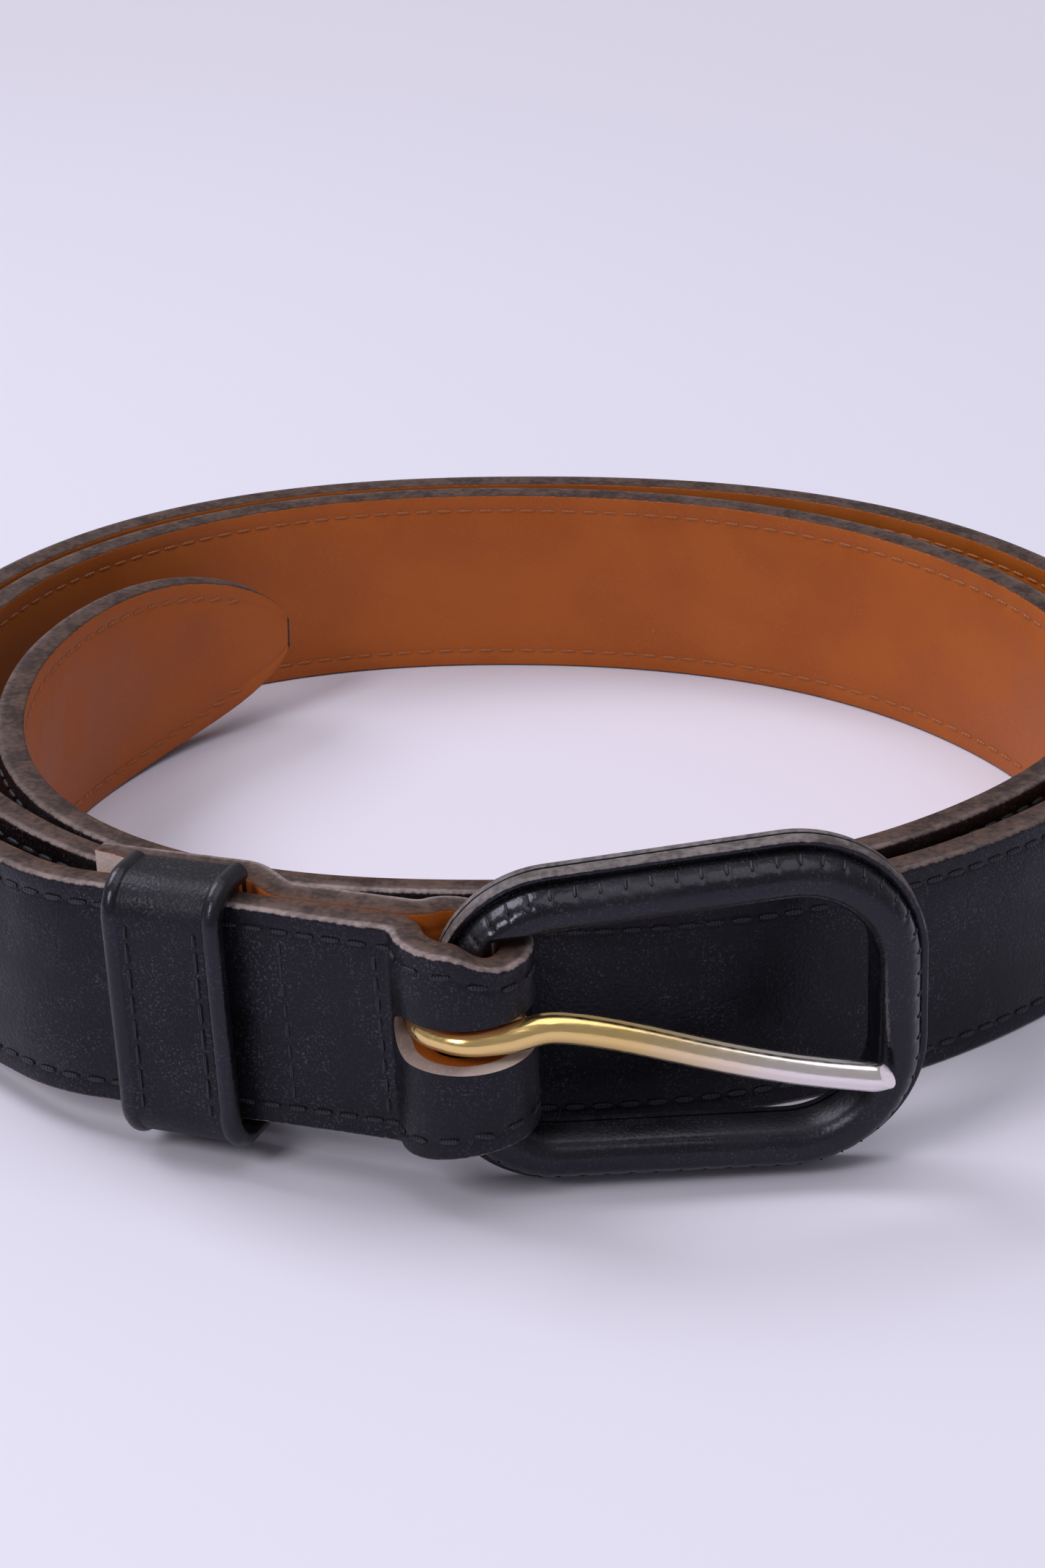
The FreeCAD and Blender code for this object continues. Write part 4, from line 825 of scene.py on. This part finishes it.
def backing_section():
    """Flat strip behind the cover with rounded outer corners and a bare outer edge; as the cover's."""
    inset = np.array([0.25, 0.05, 0.0, 0.0, 0.08, 0.3, 3.0, RING_BAND - 0.3, RING_BAND, RING_BAND, 3.0])
    depth = FLANGE_BACK + np.array([0.02, 0.1, 0.25, BACKING - 0.3, BACKING - 0.08, BACKING, BACKING,
                                    BACKING, BACKING - 0.3, 0.02, 0.02])
    edge = np.array([0.0, 0.1, 1.0, 1.0, 0.7, 0.2, 0, 0, 0.2, 0.2, 0])
    return inset, depth, edge


cover = ring_skin("ring_cover_skin", *cover_section(), smooth_leather, PUCKER_DEPTH)
backing = ring_skin("ring_backing_skin", *backing_section(), smooth_leather)
for piece, node, slot in ((cover, "buckle_cover", "black_leather"),
                          (backing, "buckle_backing", "backing_leather")):
    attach(piece, "buckle")
    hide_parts(node)


def ring_row():
    """Short stitches across the foot of the dome, one in each pucker, all round outside the fold."""
    at = (np.arange(stitch_count) + 0.5) * ring_length / stitch_count
    place = on_line(at, ring_run, outline, ring_length)
    out = unit(on_line(at, ring_run, outward, ring_length))
    free = (np.abs(place[:, 1]) > HALF_WIDTH + RING_DROP) | (place[:, 0] > FOLD_MIDDLE + THICK)
    place, out = place[free], out[free]
    row = place - out * RING_STITCH_INSET
    centres = from_ring(np.column_stack([row[:, 0], np.full(len(row), RING_STITCH_DEPTH), row[:, 1]]))
    outs = unit(np.outer(out[:, 0], ring_along) + np.outer(out[:, 1], bar_up))
    outward_lean, edge_lean = RING_STITCH_LEAN
    along = unit(outs * outward_lean + ring_back + np.cross(ring_back, outs) * edge_lean)
    return centres, along, square_to(outs, along)


ring_stitches = stitches("ring_stitches", *ring_row(), black_thread, length=1.6, width=0.4, proud=0.22)
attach(ring_stitches, "buckle")
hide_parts("buckle_stitching")


# ---------------------------------------------------------------- the prong
def prong_skin():
    """Wire wrapped nearly once round the bar, then a clamped spline to the tip; its radius eases from
    the eye's to the rod's and thins at the tip, and the end is cut off slanting, its face up and front."""
    front = BAR_RADIUS + ARM_CLEARANCE + PRONG_RADIUS
    angle = np.radians(np.linspace(*WRAP_ANGLES, 90))
    eye = BAR_RADIUS + EYE_CLEARANCE + EYE_RADIUS
    arm = eye + (front - eye) * ease((angle - ARM_START) / ARM_TURN)
    wrap = np.stack([arm * np.cos(angle), arm * np.sin(angle), np.full(len(angle), PRONG_LEVEL)], 1)
    along = np.array([2.2, 4.6, 7.6, 10.6, 22.0, 35.4, 45.6])
    level = PRONG_LEVEL + np.array([0.02, 0.3, 0.92, 0.55, -3.2, -7.55, -9.85])
    crest = DOME_HEIGHT - FLANGE_FACE + REST_CLEARANCE + PRONG_RADIUS
    depth = -front + (front - crest) * np.clip((along - REST_START) / REST_LENGTH, 0, 1)
    knots_at = np.vstack([wrap[-1], np.column_stack([along, depth, level])])
    knots = runs_of(knots_at)
    at = np.linspace(0, knots[-1], 150)
    start = unit(wrap[-1] - wrap[-2])
    rod, _ = spline(knots, knots_at, start, unit(knots_at[-1] - knots_at[-2]), at)
    line = np.vstack([wrap, rod[1:]])
    run = runs_of(line)
    radius = EYE_RADIUS + (PRONG_RADIUS - EYE_RADIUS) * ease((run - ROD_START) / ROD_EASE)
    radius *= 1 - 0.5 * ease(1 - (run[-1] - run) / TIP_TAPER)
    heading = unit(np.gradient(line, axis=0))
    side = unit(np.cross(heading, [0.0, 0.0, 1.0]))
    over = np.cross(side, heading)
    turn = np.linspace(0, 2 * pi, 29)[:-1]
    points = line[:, None] + radius[:, None, None] * (side[:, None] * np.cos(turn)[None, :, None]
                                                      + over[:, None] * np.sin(turn)[None, :, None])
    facet = unit(heading[-1] * 0.70 + over[-1] * 0.58 - np.array([0.0, 0.42, 0.0]))
    end = points[-FACET_STATIONS:]
    beyond = np.clip((end - line[-1] + heading[-1] * FACET_SETBACK) @ facet, 0, None)
    end -= (beyond / (heading[-1] @ facet))[..., None] * heading[-1]
    return skin("prong_wire", from_ring(points, drop=0.0), plated_wire, smooth_angle=35)


prong = prong_skin()
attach(prong, "prong")
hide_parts("prong")


# ---------------------------------------------------------------- the keeper's stitches
def keeper_rows():
    """Middles of the frame's stitches: corners in the stretch's own directions, split by row and by gaps
    along the row, and the middle of the bounds of each group."""
    mesh = nodes["keeper_stitching"].data
    corners = np.empty(len(mesh.vertices) * 3)
    mesh.vertices.foreach_get("co", corners)
    own = corners.reshape(-1, 3) / MM @ np.stack(run_axes, 1)
    row_split = (own[:, 0].min() + own[:, 0].max()) / 2
    middles = []
    for row in (own[own[:, 0] < row_split], own[own[:, 0] >= row_split]):
        row = row[np.argsort(row[:, 2])]
        groups = np.split(row, np.flatnonzero(np.diff(row[:, 2]) > KEEPER_STITCH_GAP) + 1)
        middles += [(group.min(0) + group.max(0)) / 2 for group in groups]
    centres = np.array(middles) @ np.stack(run_axes)
    return centres, np.tile(run_up, (len(centres), 1)), np.tile(run_front, (len(centres), 1))


keeper_stitches = stitches("keeper_stitches", *keeper_rows(), black_thread, length=1.5, width=0.45, proud=0.2)
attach(keeper_stitches, "keeper")
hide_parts("keeper_stitching")


# ---------------------------------------------------------------- solids that stay
for node, finish in (("keeper_band", black_leather), ("keeper_rims", smooth_leather),
                     ("keeper_lining", tan_leather), ("buckle_core", plain_steel)):
    nodes[node].data.materials.clear()
    nodes[node].data.materials.append(finish)


# ---------------------------------------------------------------- floor, light and camera
def stage_material(name, colour):
    """Pale matt floor that keeps the shadow near the belt; further off the camera sees its plain colour."""
    made, tree, shader, place = new_material(name)
    clouded = mix_colour(tree, noise(tree, place, 3.0, 2.0), colour, [0.97 * part for part in colour])
    tree.links.new(clouded, shader.inputs["Base Color"])
    shader.inputs["Roughness"].default_value = 0.7
    shader.inputs["Specular IOR Level"].default_value = 0.2
    away = add(tree, "ShaderNodeVectorMath", operation="LENGTH", _0=place).outputs["Value"]
    seen = add(tree, "ShaderNodeLightPath").outputs["Is Camera Ray"]
    plain = add(tree, "ShaderNodeEmission", Color=(*colour, 1))
    blend = add(tree, "ShaderNodeMixShader", _0=maths(tree, "MULTIPLY", seen, ramp(tree, away, 0.2, 0.75)),
                _1=shader.outputs[0], _2=plain.outputs[0])
    tree.links.new(blend.outputs[0], tree.nodes["Material Output"].inputs["Surface"])
    return made


BACKDROP = (0.672, 0.645, 0.768)
FLOOR_HALF = 4000.0
FLOOR_LEVEL = -0.05
floor_corners = [(x, y, FLOOR_LEVEL) for x, y in FLOOR_HALF * np.array([(-1, -1), (1, -1), (1, 1), (-1, 1)])]
floor = make("floor", floor_corners, [[0, 1, 2, 3]], stage_material("floor", BACKDROP))

world = bpy.data.worlds.new("studio")
bpy.context.scene.world = world
world.use_nodes = True
background = world.node_tree.nodes["Background"]
background.inputs["Color"].default_value = (0.95, 0.95, 1.0, 1)
background.inputs["Strength"].default_value = 0.36


def softbox(name, place, aim, size, power, colour=(1, 1, 1)):
    """Square lamp that faces the point it aims at: leaned from straight down, then turned."""
    data = bpy.data.lights.new(name, "AREA")
    data.size = size
    data.energy = power
    data.color = colour
    lamp = bpy.data.objects.new(name, data)
    bpy.context.scene.collection.objects.link(lamp)
    lamp.location = place
    x, y, z = unit(np.array(place, float) - np.array(aim, float))
    lamp.rotation_euler = (np.arccos(z), 0.0, np.arctan2(x, -y))


softbox("window", (-0.95, 0.55, 1.25), (0, -0.02, 0), 0.9, 14.0, (0.97, 0.97, 1.0))
softbox("overhead", (0.2, -0.15, 1.5), (0, 0, 0), 1.3, 8.0)
softbox("front", (-0.75, -0.95, 0.95), (0, 0, 0), 0.42, 8.5, (1.0, 0.98, 0.97))

lens = bpy.data.cameras.new("camera")
lens.sensor_width = 36
lens.lens = 83.05
lens.clip_start = 0.01
camera = bpy.data.objects.new("camera", lens)
camera.location = (-0.0013, -0.41027, 0.19631)
camera.rotation_euler = (radians(66.09), 0, 0)
bpy.context.scene.collection.objects.link(camera)
bpy.context.scene.camera = camera
bpy.context.scene.view_settings.view_transform = "Standard"
